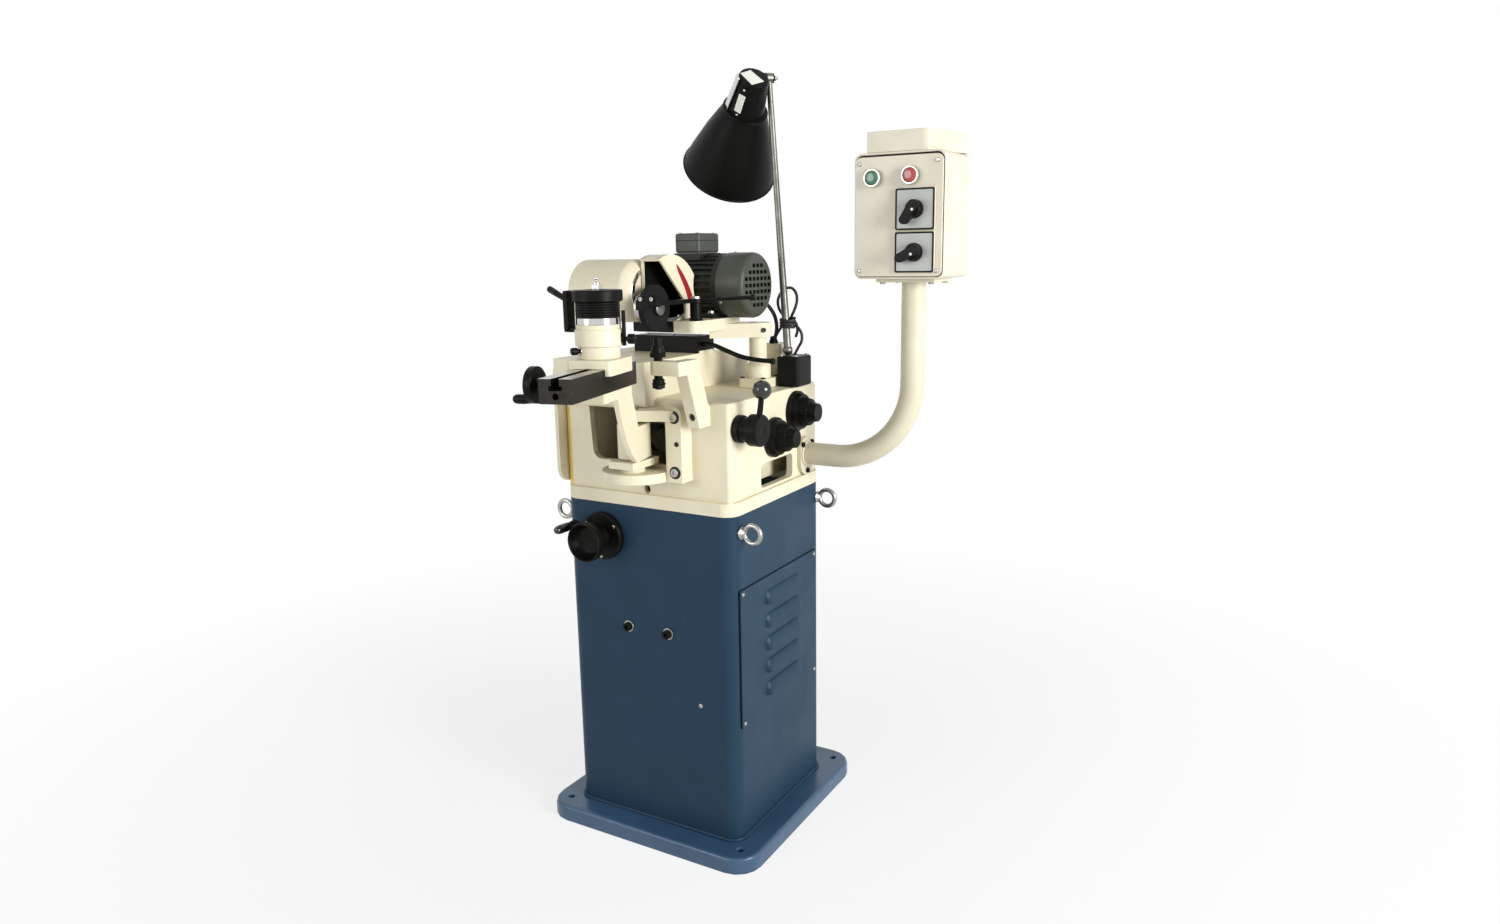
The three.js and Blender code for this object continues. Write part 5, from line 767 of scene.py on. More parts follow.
# Head arm and housing
# Cast arm under the grinding head, a drum over the spindle bearings and a belt case joining it to the motor.
# Cream enamel; a dark joint shows round the drum's left end, and a chromed ring beside the wheel.
dress("head_arm", cream_paint, 2.2)
bolts("arm_clamp_screws", [(150.5, 38, 1068.5)], (0.85, -0.5, 0), 5, 5, "socket", "head", dark_steel)
# A thin black plate across the notch in the arm's front: painted shade for the notch's dark inside.
piece("arm_notch_shade_plate", block(-61.5, 36, -124, -122.1, 1072.8, 1094.6), black_paint, "head", edge=0.4)
drum_y, drum_z, drum_radius, arm_top = -144, 1151, 66, 1095.3
motor_y, motor_z, motor_radius = 20, 1161, 65
spindle_y, spindle_z = -165, 1123
joint_left, joint_right, case_face = -152, -151, -156.5
drum_at, motor_at, spindle_at = (0, drum_y, drum_z), (0, motor_y, motor_z), (0, spindle_y, spindle_z)


def belt_outline(y0, z0, radius0, y1, z1, radius1, steps=32):
    """Two arcs and the straight lines that touch them."""
    heading = math.degrees(math.atan2(z1 - z0, y1 - y0))
    lean = math.degrees(math.acos((radius0 - radius1) / math.hypot(y1 - y0, z1 - z0)))
    return [
        *arc(y0, z0, radius0, heading + lean, heading + 360 - lean, steps),
        *arc(y1, z1, radius1, heading - lean, heading + lean, steps)]


drum = turned([
    (61, -157), (64.5, -156.2), (drum_radius, -153.5), (drum_radius, -152.4), (65.2, joint_left),
    (65.2, joint_right), (drum_radius, -150.6), (drum_radius, -34), (65, -30), (61, -21.5), (49.5, -13),
    (48, -12)], drum_at, to_right, 120)
case = drawn(belt_outline(drum_y, drum_z, drum_radius - 0.1, motor_y, motor_z, 55), "X", case_face, -56)
under_drum = block(-170, 0, -240, 90, 1040, arm_top)
drum_joint = turned([(65.6, joint_left), (65.6, joint_right)], drum_at, to_right, 120)
piece("housing_drum", cut(drum, under_drum), cream_paint, "head", "head_housing", edge=0.8)
piece("housing_belt_case", cut(case, under_drum), cream_paint, "head", edge=3.0)
piece("housing_joint", cut(drum_joint, under_drum), black_paint, "head", edge=0)
end_ring = [(49, -14.5), (49, -11.2), (48, -10.6), (40, -10.6), (40, -14.5)]
ring = turned(end_ring, drum_at, to_right, 96, closed=True)
piece("drum_end_ring", ring, chrome, "head", edge=0.3)
screw_places = [(case_face, y, z) for y, z in ((54, 1190), (54, 1130), (-40, 1205), (-40, 1108))]
bolts("case_screws", screw_places, to_left, 4.5, 2.4, "socket", "head")


# Spindle and grinding wheel
# Steel spindle with its pulley, flange and nut, and the dark abrasive wheel on it.
spindle = turned([
    (8, -126), (8, -122), (18, -122), (18, -94), (8, -94), (8, -54), (13, -54), (13, -16), (8, -16), (8, -8),
    (28.8, -8), (30, -7), (30, 12), (29, 13), (8, 13), (8, 28.3), (13.2, 28.3), (14, 29), (14, 36.2),
    (13, 37), (0, 37)], spindle_at, to_right)
piece("spindle_turned", spindle, steel, "wheel_spindle", "spindle", edge=0.2)
abrasive, tree, shader, place = surface("abrasive", 0.9, **{"Specular IOR Level": 0.15})
grain_scale = 1 / (1.1 * MM)
grains = add(tree, "ShaderNodeTexVoronoi", {"Vector": place, "Scale": grain_scale}).outputs["Distance"]
link(tree, blend_colours(tree, grains, "#0e0e0f", "#242425"), shader, "Base Color")
link(tree, bumps(tree, grains, 0.25), shader, "Normal")
wheel_section = [(15, 13.3), (43, 13.3), (45, 15.2), (45, 26.2), (43, 28), (15, 28)]
wheel = turned(wheel_section, spindle_at, to_right, 96, closed=True)
piece("grinding_wheel_turned", wheel, abrasive, "wheel_spindle", "grinding_wheel", edge=0.3)


# Wheel guard
# Welded sheet guard round the wheel, open at the front: cream outside and black inside.
# A red crescent on its right plate narrows the way the wheel turns.
guard_y, guard_z, guard_radius, guard_wall = -125, 1125, 100, 5
left_inside, right_inside, right_outside = -3, 32, 37


def guard_curve(inward, end=113.5, steps=90, above=0.0):
    """The guard's outline, so far inside its edge, from the arm up over the wheel to its front."""
    curve = arc(guard_y, guard_z, guard_radius - inward, -90, end, steps)
    return [p for p in curve if p[1] > arm_top + above]


over_wheel = guard_curve(0, 90, 72) + arc(guard_y, guard_z, guard_radius, 90, 113.5, 16)
motor_gap = rod(67.5, (-30, motor_y, motor_z), (60, motor_y, motor_z), 96)
flange_hole = rod(33, (-16, spindle_y, spindle_z), (4, spindle_y, spindle_z), 72)
plate_front = [(-78, 1131), (-78, 1110)]
right_plate = drawn([(-113, arm_top), *over_wheel, *plate_front], "X", right_inside, right_outside)
left_plate = drawn([(-161, arm_top), *over_wheel[:-1], (-161, 1217)], "X", -10, left_inside)
band = drawn([*over_wheel, *guard_curve(guard_wall)[::-1]], "X", -9, 36)
piece("guard_right_plate", cut(right_plate, motor_gap), cream_paint, "head", "wheel_guard", edge=0.8)
piece("guard_left_plate", cut(left_plate, motor_gap, flange_hole), cream_paint, "head", edge=0.8)
piece("guard_band", cut(band, motor_gap), cream_paint, "head", edge=0.8)
lining = guard_curve(guard_wall + 0.4, 113, above=1)
lining_inside = guard_curve(guard_wall + 1.2, 113, above=1)
left_lining = drawn([(-160, arm_top + 1), *lining, (-160, 1214)], "X", left_inside, -2.3)
band_lining = drawn([*lining, *lining_inside[::-1]], "X", -2.4, right_inside - 0.1)
black_inside = together(cut(left_lining, motor_gap, flange_hole), cut(band_lining, motor_gap))
piece("guard_lining", black_inside, black_paint, "head", edge=0)
red = paint("cream_paint", "#9b1f24", "#8a1c20", 0.4, 1.0, 0.01, name="arrow_red")
crescent_outside = (
    (84, 78), (81.5, 73), (77.5, 66), (74.5, 58), (72.5, 51), (71.3, 42), (71, 32), (72, 23), (73.5, 16),
    (75.5, 10))
crescent_inside = (
    (56.5, 10), (55.5, 20), (55.6, 29), (56, 37), (57.6, 46), (60, 55), (64, 63), (69, 70), (77, 76))
crescent = [
    (guard_y + r * math.cos(math.radians(a)), guard_z + r * math.sin(math.radians(a)))
    for r, a in crescent_outside + crescent_inside]
piece("turning_arrow", drawn(crescent, "X", right_outside - 0.1, right_outside + 0.25), red, "head", edge=0)
bolts("guard_screws", [(right_outside, y, 1104) for y in (-105, -60)], to_right, 4, 2.2, "pan", "head")


# Grinding motor
# Finned motor body on feet, with a square terminal box on top and a pressed fan cover at its right end.
# Grey-green covers in dull enamel; the body is a near-black copy of that paint, as painted shade between its
# fins.
# Painted shade: the body's paint is darkened to near-black for the shade between the fins and under the
# motor.
shade_darkened_motor_paint = paint("motor_paint", "#24271f", "#1c1e19", 0.42, 0.8, 0.03, shine=0.2)
motor_grey = paint("motor_paint", "#42463d", "#393d34", 0.4, 1.0, 0.03, "#33332e", shine=0.3)
fin_count, fin_depth, fin_share = 30, 5.5, 0.36
fin_pitch = 360 / fin_count
fins = []
for i in range(fin_count):
    start = i * fin_pitch
    root = start + fin_share * fin_pitch
    fins += arc(motor_y, motor_z, motor_radius, start, root, 2)
    fins += arc(motor_y, motor_z, motor_radius - fin_depth, root + 0.8, start + fin_pitch - 0.8, 3)
left_end = turned([(56, -45), (62, -45), (64, -43), (64, -33), (60, -32)], motor_at, to_right, 96)
right_end = turned([(60, 73), (64.5, 74), (64.5, 85), (63, 86.7), (50, 86.7)], motor_at, to_right, 96)
foot_top = 1105
feet = block(-18, 70, motor_y - 45, motor_y + 44.7, arm_top, foot_top)
saddle = block(-10, 62, motor_y - 36, motor_y + 36, foot_top - 2, 1125)
box_seat = block(-25, 36, -22, 61, 1212, 1227)
motor = together(drawn(fins, "X", -33, 74), left_end, right_end, feet, saddle, box_seat)
piece("motor_casting", motor, shade_darkened_motor_paint, "head", "motor_body", edge=0.7)
screw_places = [(x, motor_y - 39, foot_top) for x in (-8, 60)]
bolts("motor_foot_bolts", screw_places, to_top, 5.5, 4.5, "hex", "head", washer=1.2)
dress("terminal_box", motor_grey, 2.2)
box_joint = drawn(rounded(-25.4, 36.4, -22.4, 61.4, 9), "Z", 1252, 1252.8)
piece("terminal_box_joint", box_joint, black_paint, "head", edge=0)
screw_places = [(x, y, 1266.9) for x in (-15, 26) for y in (-12, 51)]
bolts("terminal_box_screws", screw_places, to_top, 3.4, 1.8, "slotted", "head")
cover_left, cover_right, cover_radius, cover_wall = 87, 150, 66, 2.5
shoulder, inner_face, axis_radius = cover_right - 11, cover_right - cover_wall, 0.001
cover_profile = [
    (cover_radius, cover_left), (cover_radius, shoulder), (cover_radius - 1.5, cover_right - 6),
    (cover_radius - 5, cover_right - 2), (cover_radius - 10, cover_right), (axis_radius, cover_right),
    (axis_radius, inner_face), (cover_radius - 12, inner_face), (cover_radius - cover_wall, shoulder),
    (cover_radius - cover_wall, cover_left)]
row_pitch, column_pitch, hole_height, hole_width, grille_radius = 13.2, 15.5, 7.4, 11.5, 50
holes = []
for row in range(-3, 4):
    for column in range(-3, 4):
        y, z = motor_y + column * column_pitch, motor_z + row * row_pitch
        if math.hypot(y - motor_y, z - motor_z) < grille_radius:
            y0, y1, z0, z1 = y - hole_width / 2, y + hole_width / 2, z - hole_height / 2, z + hole_height / 2
            holes.append(block(cover_right - 8, cover_right + 4, y0, y1, z0, z1))
fan_cover = cut(turned(cover_profile, motor_at, to_right, 96, closed=True), together(*holes))
piece("fan_cover_pressing", fan_cover, motor_grey, "head", "fan_cover", edge=0.5)
rim_screws = []
for a in (math.radians(degrees) for degrees in (-150, -35, 85, 205)):
    y, z = math.cos(a), math.sin(a)
    at = (95, motor_y + cover_radius * y, motor_z + cover_radius * z)
    rim_screws.append(bolt(at, (0, y, z), 3.6, 2, "pan"))
piece("fan_cover_screws", together(*rim_screws), steel, "head", edge=0.2)
dress("motor_shaft", dark_steel, 0.3)


# Wheel dresser
# Black post on the head arm, with a lever on top that carries the diamond block in front of the wheel.
dresser_x, dresser_y, dresser_top = 72, -95, 1138.3
dresser_post = turned([
    (14, arm_top), (14, 1098), (11.5, 1099), (11.5, 1129), (10.8, 1130), (5, 1130), (5, dresser_top),
    (0, dresser_top)], (dresser_x, dresser_y, 0))
piece("dresser_post", dresser_post, black_paint, "head", "dresser_bracket", edge=0.3)
dress("dresser_lever", black_paint, 1.0)
bolts("dresser_screw", [(dresser_x, dresser_y, dresser_top)], to_top, 8, 3.6, "hex", "dresser", washer=1.2)
bolts("diamond_screws", [(x, -228, 1143) for x in (35, 60)], to_front, 4.2, 2.6, "socket", "dresser")
piece("dresser_rod_end", ball(6, (203, dresser_y, 1142)), black_plastic, "dresser", edge=0)


# Feed slide
# Black cover that moves on the ground way of the body, and the bent pawl rod at its right end.
dress("way_cover", black_paint, 1.2)
bolts(
    "way_cover_screws", [(x, 12.5, 1056) for x in (-122, -56, 10)], to_top, 4.5, 2.6, "socket", "feed_slide")


def bent_rod(route, radius, sides=24):
    """A round rod, smooth through its route."""
    return bar([p / MM for p in smooth_route(route)], radius, sides)


pawl_end = (182, 20, 1007)
pawl_route = [(25.3, 0, 1039), (50, 0, 1038), (84, 0, 1027), (118, 1, 1016), (150, 8, 1010), pawl_end]
pawl = together(bent_rod(pawl_route, 4.8), ball(6.5, pawl_end))
piece("pawl_rod_bent", pawl, black_paint, "feed_slide", "pawl_rod", edge=0)


# Support bracket
# Cream casting over the table with a slanted leg; the blade rest's knurled screw passes through its arm.
dress("support_bracket", cream_paint, 1.8)
# The dark disc round the leg's screw is painted shade, for the inside of its counterbore.
leg_counterbore_shade = turned([(9.5, 0), (9.5, 0.5), (7, 0.6)], (145.5, -223.4, 925), to_front)
leg_screw = bolt((145.5, -224, 925), to_front, 6.5, 2.5, "socket")
piece("support_leg_screws", together(leg_counterbore_shade, leg_screw), dark_steel, edge=0.2)


def knurled(radius, foot, top, at, teeth=44, depth=0.7):
    """A short cylinder with cut teeth round it."""
    outline = []
    for i in range(teeth):
        start = 360 * i / teeth
        outline += arc(at[0], at[1], radius, start, start + 180 / teeth, 1)
        outline += arc(at[0], at[1], radius - depth, start + 240 / teeth, start + 300 / teeth, 1)
    return drawn(outline, "Z", foot, top)


rest_x, rest_y = 103, -275
rest_at = (rest_x, rest_y, 0)
screw = turned([
    (6.4, 981), (7, 982), (7, 990), (12.6, 990), (13, 991), (13, 992.6), (11, 993), (11, 999.5), (10.4, 1000),
    (8, 1000), (8, 1040.5), (8, 1076), (7, 1077)], rest_at)
cone = turned([(13, 1049), (11, 1060), (10.2, 1061)], rest_at)
lock_nut = turned([(12.9, 983.5), (12.9, 989)], rest_at, sides=6)
blade_rest = together(screw, knurled(14.5, 1040.5, 1049, rest_at), cone, lock_nut)
piece("blade_rest_turned", blade_rest, black_paint, "blade_rest", "blade_rest_screw", edge=0.4)


# Ball lever
# Round base, neck and hub with a rod up to a glossy black ball, on the body's right wall.
control_face, shaft_end = 199.8, 165.5
lever_y, ball_at = -155, (254, -155, 973)
hub = turned([
    (8, shaft_end), (8, control_face), (26, control_face), (27, 201), (27, 212), (26, 213.5), (23.4, 214.5),
    (23, 216), (23, 228), (24, 229.5), (29.6, 229.5), (31, 231), (31, 252), (29, 255), (12, 255.5),
    (10, 254.6), (0, 254.6)], (0, lever_y, 895), to_right, 96)
lever_rod = bar([(243, lever_y, 895), (250, lever_y, 937), ball_at], [6, 5.6, 5.2])
piece("ball_lever_turned", together(hub, lever_rod), black_paint, "lever", "ball_lever", edge=0.4)
gloss_black = paint("black_plastic", "#0e0e0e", "#141414", 0.12, 3.0, 0.01, "#2c2b28", coat=0.4)
piece("lever_ball", ball(18.5, ball_at), gloss_black, "lever", edge=0)


# Feed and depth knobs
# Stepped black knobs with fine grips, the feed knob with a bare steel face.
def stepped_knob(name, y, z, radius, body):
    length = 255 - control_face
    step_shares = (
        (0, 1), (0.16, 1), (0.16, 0.9), (0.36, 0.86), (0.36, 0.7), (0.7, 0.62), (0.7, 0.5), (1, 0.44))
    profile = [(8, shaft_end), (8, control_face)]
    profile += [(radius * across, control_face + length * along) for along, across in step_shares]
    shape = turned(profile, (0, y, z), to_right, 96)
    grips = []
    for a in turns(30):
        ends = []
        for along, across in ((0.37, 0.69), (0.69, 0.615)):
            out = radius * across
            ends.append((control_face + length * along, y + out * math.cos(a), z + out * math.sin(a)))
        grips.append(bar(ends, 1.3, 8))
    piece(name + "_turned", together(shape, *grips), black_paint, body, name, edge=0.5)


feed_y, feed_z, depth_y, depth_z = -14, 856, 84, 896
stepped_knob("feed_knob", feed_y, feed_z, 41, "feed_dial")
stepped_knob("depth_knob", depth_y, depth_z, 43, "depth_dial")
knob_face = turned([(17, 254.2), (17, 254.9), (5, 254.9), (4, 254), (0, 254)], (0, feed_y, feed_z), to_right)
piece("feed_knob_face", knob_face, steel, "feed_dial", edge=0)
bolts("depth_knob_screw", [(253.9, depth_y, depth_z)], to_right, 7, 1.0, "pan", "depth_dial", edge=0)


# Front handwheel
# Black bearing flange on the cabinet's front; a wheel like a deep cup, with a crank arm and a turning grip.
wheel_x, wheel_z, flange_face, screw_circle = -105, 655, 207, 43
crank_x, crank_z, crank_heading = -165, 676, 160.7
wheel_at = (wheel_x, 0, wheel_z)
flange = [(50, 193.3), (50, 204.5), (48, flange_face), (9, flange_face), (9, 193.3)]
piece(
    "handwheel_flange_turned", turned(flange, wheel_at, to_front, 96, closed=True), black_paint, "machine",
    "handwheel_flange", edge=0.5)
screw_places = [
    (wheel_x + screw_circle * math.cos(a), -flange_face, wheel_z + screw_circle * math.sin(a))
    for a in (math.radians(d) for d in (35, 145, 270))]
bolts("handwheel_flange_screws", screw_places, to_front, 3.6, 1.8, "pan")
crank = drawn([
    *arc(crank_x, crank_z, 9, crank_heading - 90, crank_heading + 90, 20),
    *arc(wheel_x, wheel_z, 18, crank_heading + 90, crank_heading + 270, 12)], "Y", -224, -212)
cup = turned([
    (8, 120), (8, 207.3), (23, 207.3), (24, 209), (23, 226), (25, 232), (31, 239), (38.6, 245), (41, 248),
    (41, 262.5), (39.6, 264), (38.2, 264), (37, 262.6), (34, 250), (26, 242), (12, 240), (0, 240)],
    wheel_at, to_front, 96)
piece("front_handwheel_turned", together(cup, crank), black_paint, "front_wheel", "front_handwheel", edge=0.6)
grip = turned([
    (4, 212.3), (4, 224.3), (7, 224.3), (7.8, 227), (9.5, 244), (9.5, 262), (8.4, 270), (6, 274.6),
    (2.6, 276)], (crank_x, 0, crank_z), to_front)
piece("front_grip_turned", grip, gloss_black, "front_grip", "front_handwheel_grip", edge=0)


# Control box tube
# Cream painted pipe from a flange on the right wall, bent upwards to the plate under the control box.
tube_paint = paint("tube_paint", "#d2ccb6", "#c6bea5", 0.42, 1.0, 0.02, "#8b8a84", shine=0.35)
tube_y, tube_z, bend_start, bend_radius = 122, 799, 282, 165
upright_x, plate_bottom, flange_right = bend_start + bend_radius, 1165, 208.8
elbow = [
    (bend_start + bend_radius * math.sin(a), tube_y, tube_z + bend_radius * (1 - math.cos(a)))
    for a in (math.pi / 2 * i / 24 for i in range(25))]
pipe = bar([(control_face, tube_y, tube_z), *elbow, (upright_x, tube_y, plate_bottom + 0.5)], 24, 48)
flange_outline = [*arc(tube_y, 807, 29, 0, 180), *arc(tube_y, 781, 29, 180, 360)]
wall_flange = drawn(flange_outline, "X", control_face, flange_right)
weld_route = [(210.5, tube_y + 25 * math.cos(a), tube_z + 25 * math.sin(a)) for a in turns(48)]
weld = bar(weld_route, 2.6, 10, closed=True)
box_plate = block(387, 507, 72, 172, plate_bottom, 1171.7)
piece("tube_bent", together(pipe, wall_flange, weld, box_plate), tube_paint, "machine", "box_tube", edge=1.2)
screw_places = [(flange_right, y, z) for y, z in ((143, 821), (101, 821), (122, 761.5))]
bolts("tube_flange_screws", screw_places, to_right, 5.7, 4.5, "socket", finish=black_paint)
screw_places = [(x, y, plate_bottom) for x in (397, 497) for y in (82, 162)]
bolts("tube_plate_screws", screw_places, to_bottom, 5, 3.4, "hex")


# Control box
# Sheet steel box in cream enamel with a door plate, two push buttons and two cam switches under a hood.
# Its switch plates are plain light grey in thin black frames.
box_paint = paint("box_paint", "#d9d3c1", "#cdc6b1", 0.4, 1.2, 0.03, "#9a9b98", coat=0.1, shine=0.35)
dress("control_box", box_paint, 1.6)
dress("control_box_door", box_paint, 0.9)
dress("box_hood", box_paint, 1.2)
door_face = 47
screw_places = [(x, door_face, z) for x in (362, 518) for z in (1187, 1388)]
bolts("door_screws", screw_places, to_front, 4.0, 2.2, "slotted")
door_joint = drawn(rounded(351.4, 529.4, 1175.4, 1402, 13), "Y", 53.02, 53.4)
piece("door_joint", door_joint, black_paint, edge=0)
button_places = ((391, 1361, "start"), (467, 1363, "stop"))
bezel = [(14.2, -door_face), (17.6, -door_face), (17.6, -44.5), (17.4, -37), (16, -34.4), (14.2, -34.4)]
for x, z, name in button_places:
    piece(name + "_bezel", turned(bezel, (x, 0, z), to_front, 72, closed=True), chrome, edge=0.4)
plate_left, plate_right, plate_heights = 437, 515, ((1263, 1340), (1184, 1260))


def plate_shape(low, high, inset, corner, near, far):
    """A switch's plate, so far inside its outline."""
    outline = rounded(plate_left + inset, plate_right - inset, low + inset, high - inset, corner)
    return drawn(outline, "Y", near, far)


frames = [
    cut(plate_shape(*heights, 0.2, 4, 41.4, 43), plate_shape(*heights, 3.4, 2, 40, 44))
    for heights in plate_heights]
piece("switch_frames", together(*frames), black_plastic, edge=0.3)
plate_grey = paint("box_paint", "#b3b6b1", "#a9aca7", 0.38, 0.8, 0.01, "#8d8f8b")
plates = [plate_shape(*heights, 3.2, 2, 42.2, 43.1) for heights in plate_heights]
piece("switch_plates", together(*plates), plate_grey, edge=0)


# Push buttons
# Domed lenses in chromed bezels, green to start and red to stop; moulded plastic, slightly clear.
def lens(slot, colour):
    material, tree, shader, place = surface(slot, 0.16, **{"Coat Weight": 0.5, "Coat Roughness": 0.06})
    shade = [c * 0.8 for c in linear(colour)[:3]] + [1]
    link(tree, blend_colours(tree, patches(tree, place, 9), colour, shade), shader, "Base Color")
    return material


dome = [(8, -66), (8, -42.5), (13.2, -42.5), (13.2, -35), (12.4, -33.2), (9.5, -32.2), (5, -31.8), (0, -31.7)]
lens_finishes = (("green_plastic", "#2f6e4f"), ("red_plastic", "#a83a36"))
for (x, z, name), (slot, colour) in zip(button_places, lens_finishes):
    button = turned(dome, (x, 0, z), to_front)
    piece(name + "_lens", button, lens(slot, colour), name, name + "_button", edge=0.2)


# Cam switches
# Black moulded hubs with broad handles and a white dot near the middle, each turned with its shaft.
white_dot = paint("black_plastic", "#e6e6e2", "#dcdcd6", 0.5, 1.0, 0.01, name="white_mark")
switch_x = 476
for name, body, z, degrees in (
        ("upper_switch", "upper_cam", 1301.5, 235), ("lower_switch", "lower_cam", 1222, 205)):
    set_at = Matrix.Translation((switch_x, 0, z)) @ Matrix.Rotation(math.radians(-degrees), 4, "Y")
    handle = drawn([*arc(-7, 0, 11, 110, 250, 12), *arc(24, 0, 8.5, -75, 75, 12)], "Y", 17, 33)
    handle.transform(set_at)
    hub = turned([(17.5, -42.6), (17.5, -38), (16, -34), (15, -28), (13, -26)], (switch_x, 0, z), to_front)
    piece(name + "_moulding", together(hub, handle), black_plastic, body, name, edge=1.2)
    dot = turned([(2.6, -17.05), (2.6, -16.7)], (-1, 0, 4), to_front)
    dot.transform(set_at)
    piece(name + "_dot", dot, white_dot, body, edge=0)


# Lamp
# Black cast base, a plain tapered steel pole, and a satin black spun shade on a knuckle with a wing nut.
# The cap carries a white plate, a plated strip and a pale switch plate; a strap ties the leads to the pole.
dress("lamp_base", black_paint, 2.0)
bolts("lamp_base_screws", [(x, y, 1012) for x in (173, 207) for y in (75, 125)], to_top, 4.5, 2.6, "socket")
foot, head, cap_top = Vector((177, 96, 1023)), Vector((133, 93, 1572)), Vector((132, 48, 1568))
shade_axis = Vector((-0.55, 0.48, -0.685)).normalized()
knuckle_axis = shade_axis.cross(Vector(to_top)).normalized()
knuckle, knuckle_gap, knuckle_length = [(9.2, 0), (10, 0.8), (10, 13.2), (9.2, 14)], 0.15, 14
near, far = head + knuckle_axis * knuckle_gap, head + knuckle_axis * (knuckle_gap + knuckle_length)
pole = head + knuckle_axis * 7 - foot
pole_grey = metal("steel", "#7d7b76", "#62605b", 0.34, 0.5, name="steel pole")
taper = turned([(8, 0), (8, 60), (6.4, pole.length * 0.6), (6, pole.length)], foot, pole)
pole_shape = together(ball(10.7, foot), taper, turned(knuckle, near, knuckle_axis))
piece("pole_turned", pole_shape, pole_grey, "lamp_post", "lamp_pole", edge=0.3)
wing_washer = turned([(9.4, 0), (9.4, 2.6), (8.6, 3.2)], far, knuckle_axis)
piece("wing_washer", wing_washer, black_plastic, "lamp_post", edge=0)
wings = [(-15, 9), (-12, 13), (-8, 12), (-3, 5), (3, 5), (8, 12), (12, 13), (15, 9), (6, 0), (-6, 0)]
wing_nut = together(drawn(wings, "Y", -1.6, 1.6), turned([(7, 0), (6, 5), (4.6, 8), (0, 8.4)]))
wing_nut.transform(
    Matrix.Translation(far + knuckle_axis * 3.2) @ knuckle_axis.to_track_quat("Z", "X").to_matrix().to_4x4())
piece("wing_nut", wing_nut, chrome, "lamp_post", edge=0.5)
shade_black = paint("shade_paint", "#0a0a08", "#0e0e0c", 0.38, 1.2, 0.015, "#1e1e1b", shine=0.09)
shade_outside = [
    (axis_radius, 0), (25.5, 0.2), (29.5, 1.6), (31, 4.5), (39.3, 74), (39.5, 76), (46.5, 76.5), (47.5, 78),
    (47.5, 84), (56, 105), (72.5, 148), (90.5, 205), (99, 236), (101.5, 238.3), (101.5, 239.5)]
shade_inside = [(99.5, 239), (98, 236), (89, 204), (71, 148), (54.5, 105), (46, 86), (axis_radius, 86)]
spinning = turned(shade_outside + shade_inside, cap_top, shade_axis, 96, closed=True)
shade_arm = bar([cap_top + shade_axis * 16, head - knuckle_axis * 7], 6)
shade_knuckle = turned(knuckle, head - knuckle_axis * knuckle_gap, -knuckle_axis)
shade = together(spinning, shade_arm, shade_knuckle)
piece("shade_spinning", shade, shade_black, "shade", "lamp_shade", edge=0.3)
shade_white = paint("shade_paint", "#e4e2da", "#d8d5ca", 0.5, 1.5, 0.01)
lining = [(r - 0.5, h) for r, h in shade_inside[1:-1]]
lining += [(axis_radius, 86.6), (axis_radius, 87.2)] + [(r - 0.6, h) for r, h in lining[::-1]]
white_inside = turned(lining, cap_top, shade_axis, 96, closed=True)
piece("shade_lining", white_inside, shade_white, "shade", edge=0)
holder = turned([(18, 87), (18, 108), (16, 110), (14, 110)], cap_top, shade_axis)
piece("lamp_holder", holder, black_plastic, "shade", edge=0.5)
glass, tree, shader, place = surface(
    "shade_paint", 0.3, name="black_plastic frosted bulb", **{"Coat Weight": 0.3})
link(tree, blend_colours(tree, patches(tree, place, 20), "#f2f0e8", "#e6e3d8"), shader, "Base Color")
bulb = [(13, 110), (14, 116), (20, 131), (28, 148), (30, 160), (27, 174), (18, 185), (8, 189), (0, 190)]
piece("lamp_bulb", turned(bulb, cap_top, shade_axis), glass, "shade", edge=0)
cap_axes = Matrix((knuckle_axis, knuckle_axis.cross(shade_axis), -shade_axis)).transposed()
cap_frame = Matrix.Translation(cap_top) @ cap_axes.to_4x4()


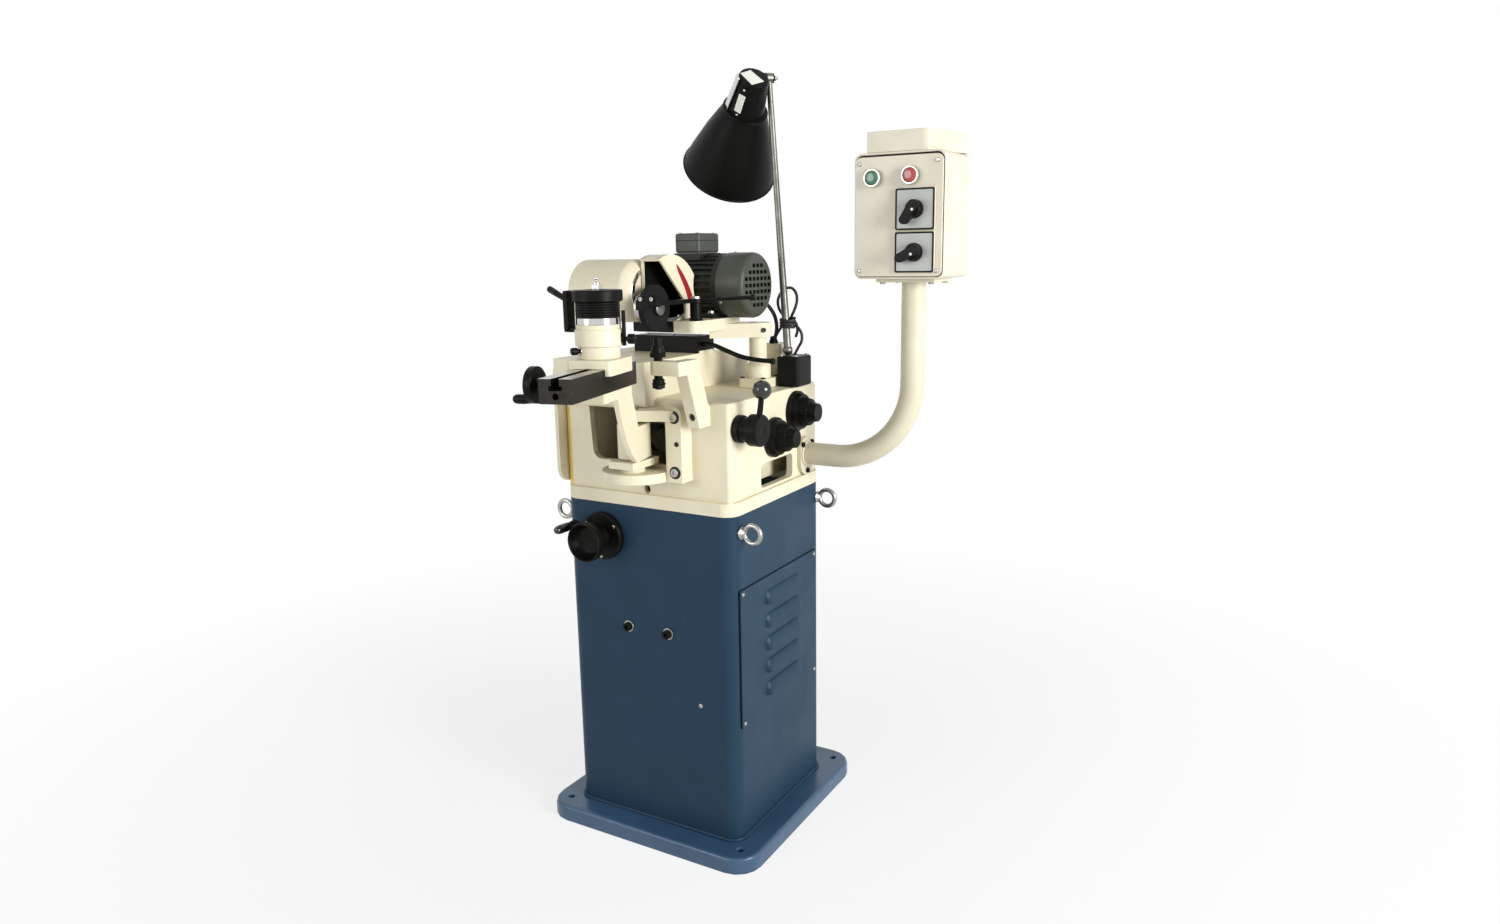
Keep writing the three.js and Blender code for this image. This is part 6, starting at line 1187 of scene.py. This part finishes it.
def on_cap(shape, around):
    """Turns a shape drawn against the cap's side in local X to its place round the cap."""
    shape.transform(cap_frame @ Matrix.Rotation(math.radians(around), 4, "Z"))
    return shape


def leaned(shape, out, down):
    """Lays a shape on the cap's slope."""
    shape.transform(Matrix.Translation((out, 0, -down)) @ Matrix.Rotation(math.radians(-6.4), 4, "Y"))
    return shape


pale = paint("shade_paint", "#e8e7df", "#dddbd1", 0.45, 1.0, 0.02)
top_plate = drawn([(-27, 9.5), (-3, 20), (17, -13), (-11.5, -24)], "Z", -0.6, 0.8)
top_plate.transform(cap_frame)
switch_plate = leaned(drawn(rounded(-7.3, 7.3, -19, 19, 1.5), "X", -0.5, 1.6), 36.2, 45)
piece("shade_plates", together(top_plate, on_cap(switch_plate, 224)), pale, "shade", edge=0.4)
strip = leaned(drawn(rounded(-9, 9, -40, 40, 2), "X", 1.4, 3.4), 35.4, 40)
screw_spots = ((32.7, 15), (38.9, 71.5))
cap_screws = [on_cap(bolt((r - 0.4, 0, -h), to_right, 2.6, 1.6, "pan"), 225) for r, h in screw_spots]
piece("shade_strip", together(on_cap(strip, 178), *cap_screws), chrome, "shade", edge=0.3)
tie_routes = (
    ((168, 108, 1152), (178, 113, 1152), (188, 113, 1143), (192, 111, 1127), (187, 110, 1108),
     (179, 110, 1092), (176, 110, 1080)),
    ((186, 108, 1086), (192, 109, 1076), (193, 110, 1062), (189, 110, 1050)),
    ((166, 108, 1080), (152, 113, 1068), (138, 119, 1052), (131, 123, 1040)))
strap = [bent_rod(route, 3, 12) for route in tie_routes]
wound = [
    (175 + 15 * math.cos(t), 101 + 15 * math.sin(t), 1090 - t) for t in (math.pi / 12 * i for i in range(73))]
piece("lead_strap", together(*strap, bar(wound, 3, 12)), rubber, "lamp_post", edge=0)


# Drive in the cabinet
# Feed motor on the shelf, its pulley, belt and the camshaft, mostly out of sight.
dress("feed_motor", motor_grey, 1.0)
for node in ("feed_pulley", "camshaft"):
    dress(node, steel, 0.5)
for node in ("feed_belt", "head_belt"):
    dress(node, rubber, 0.5)
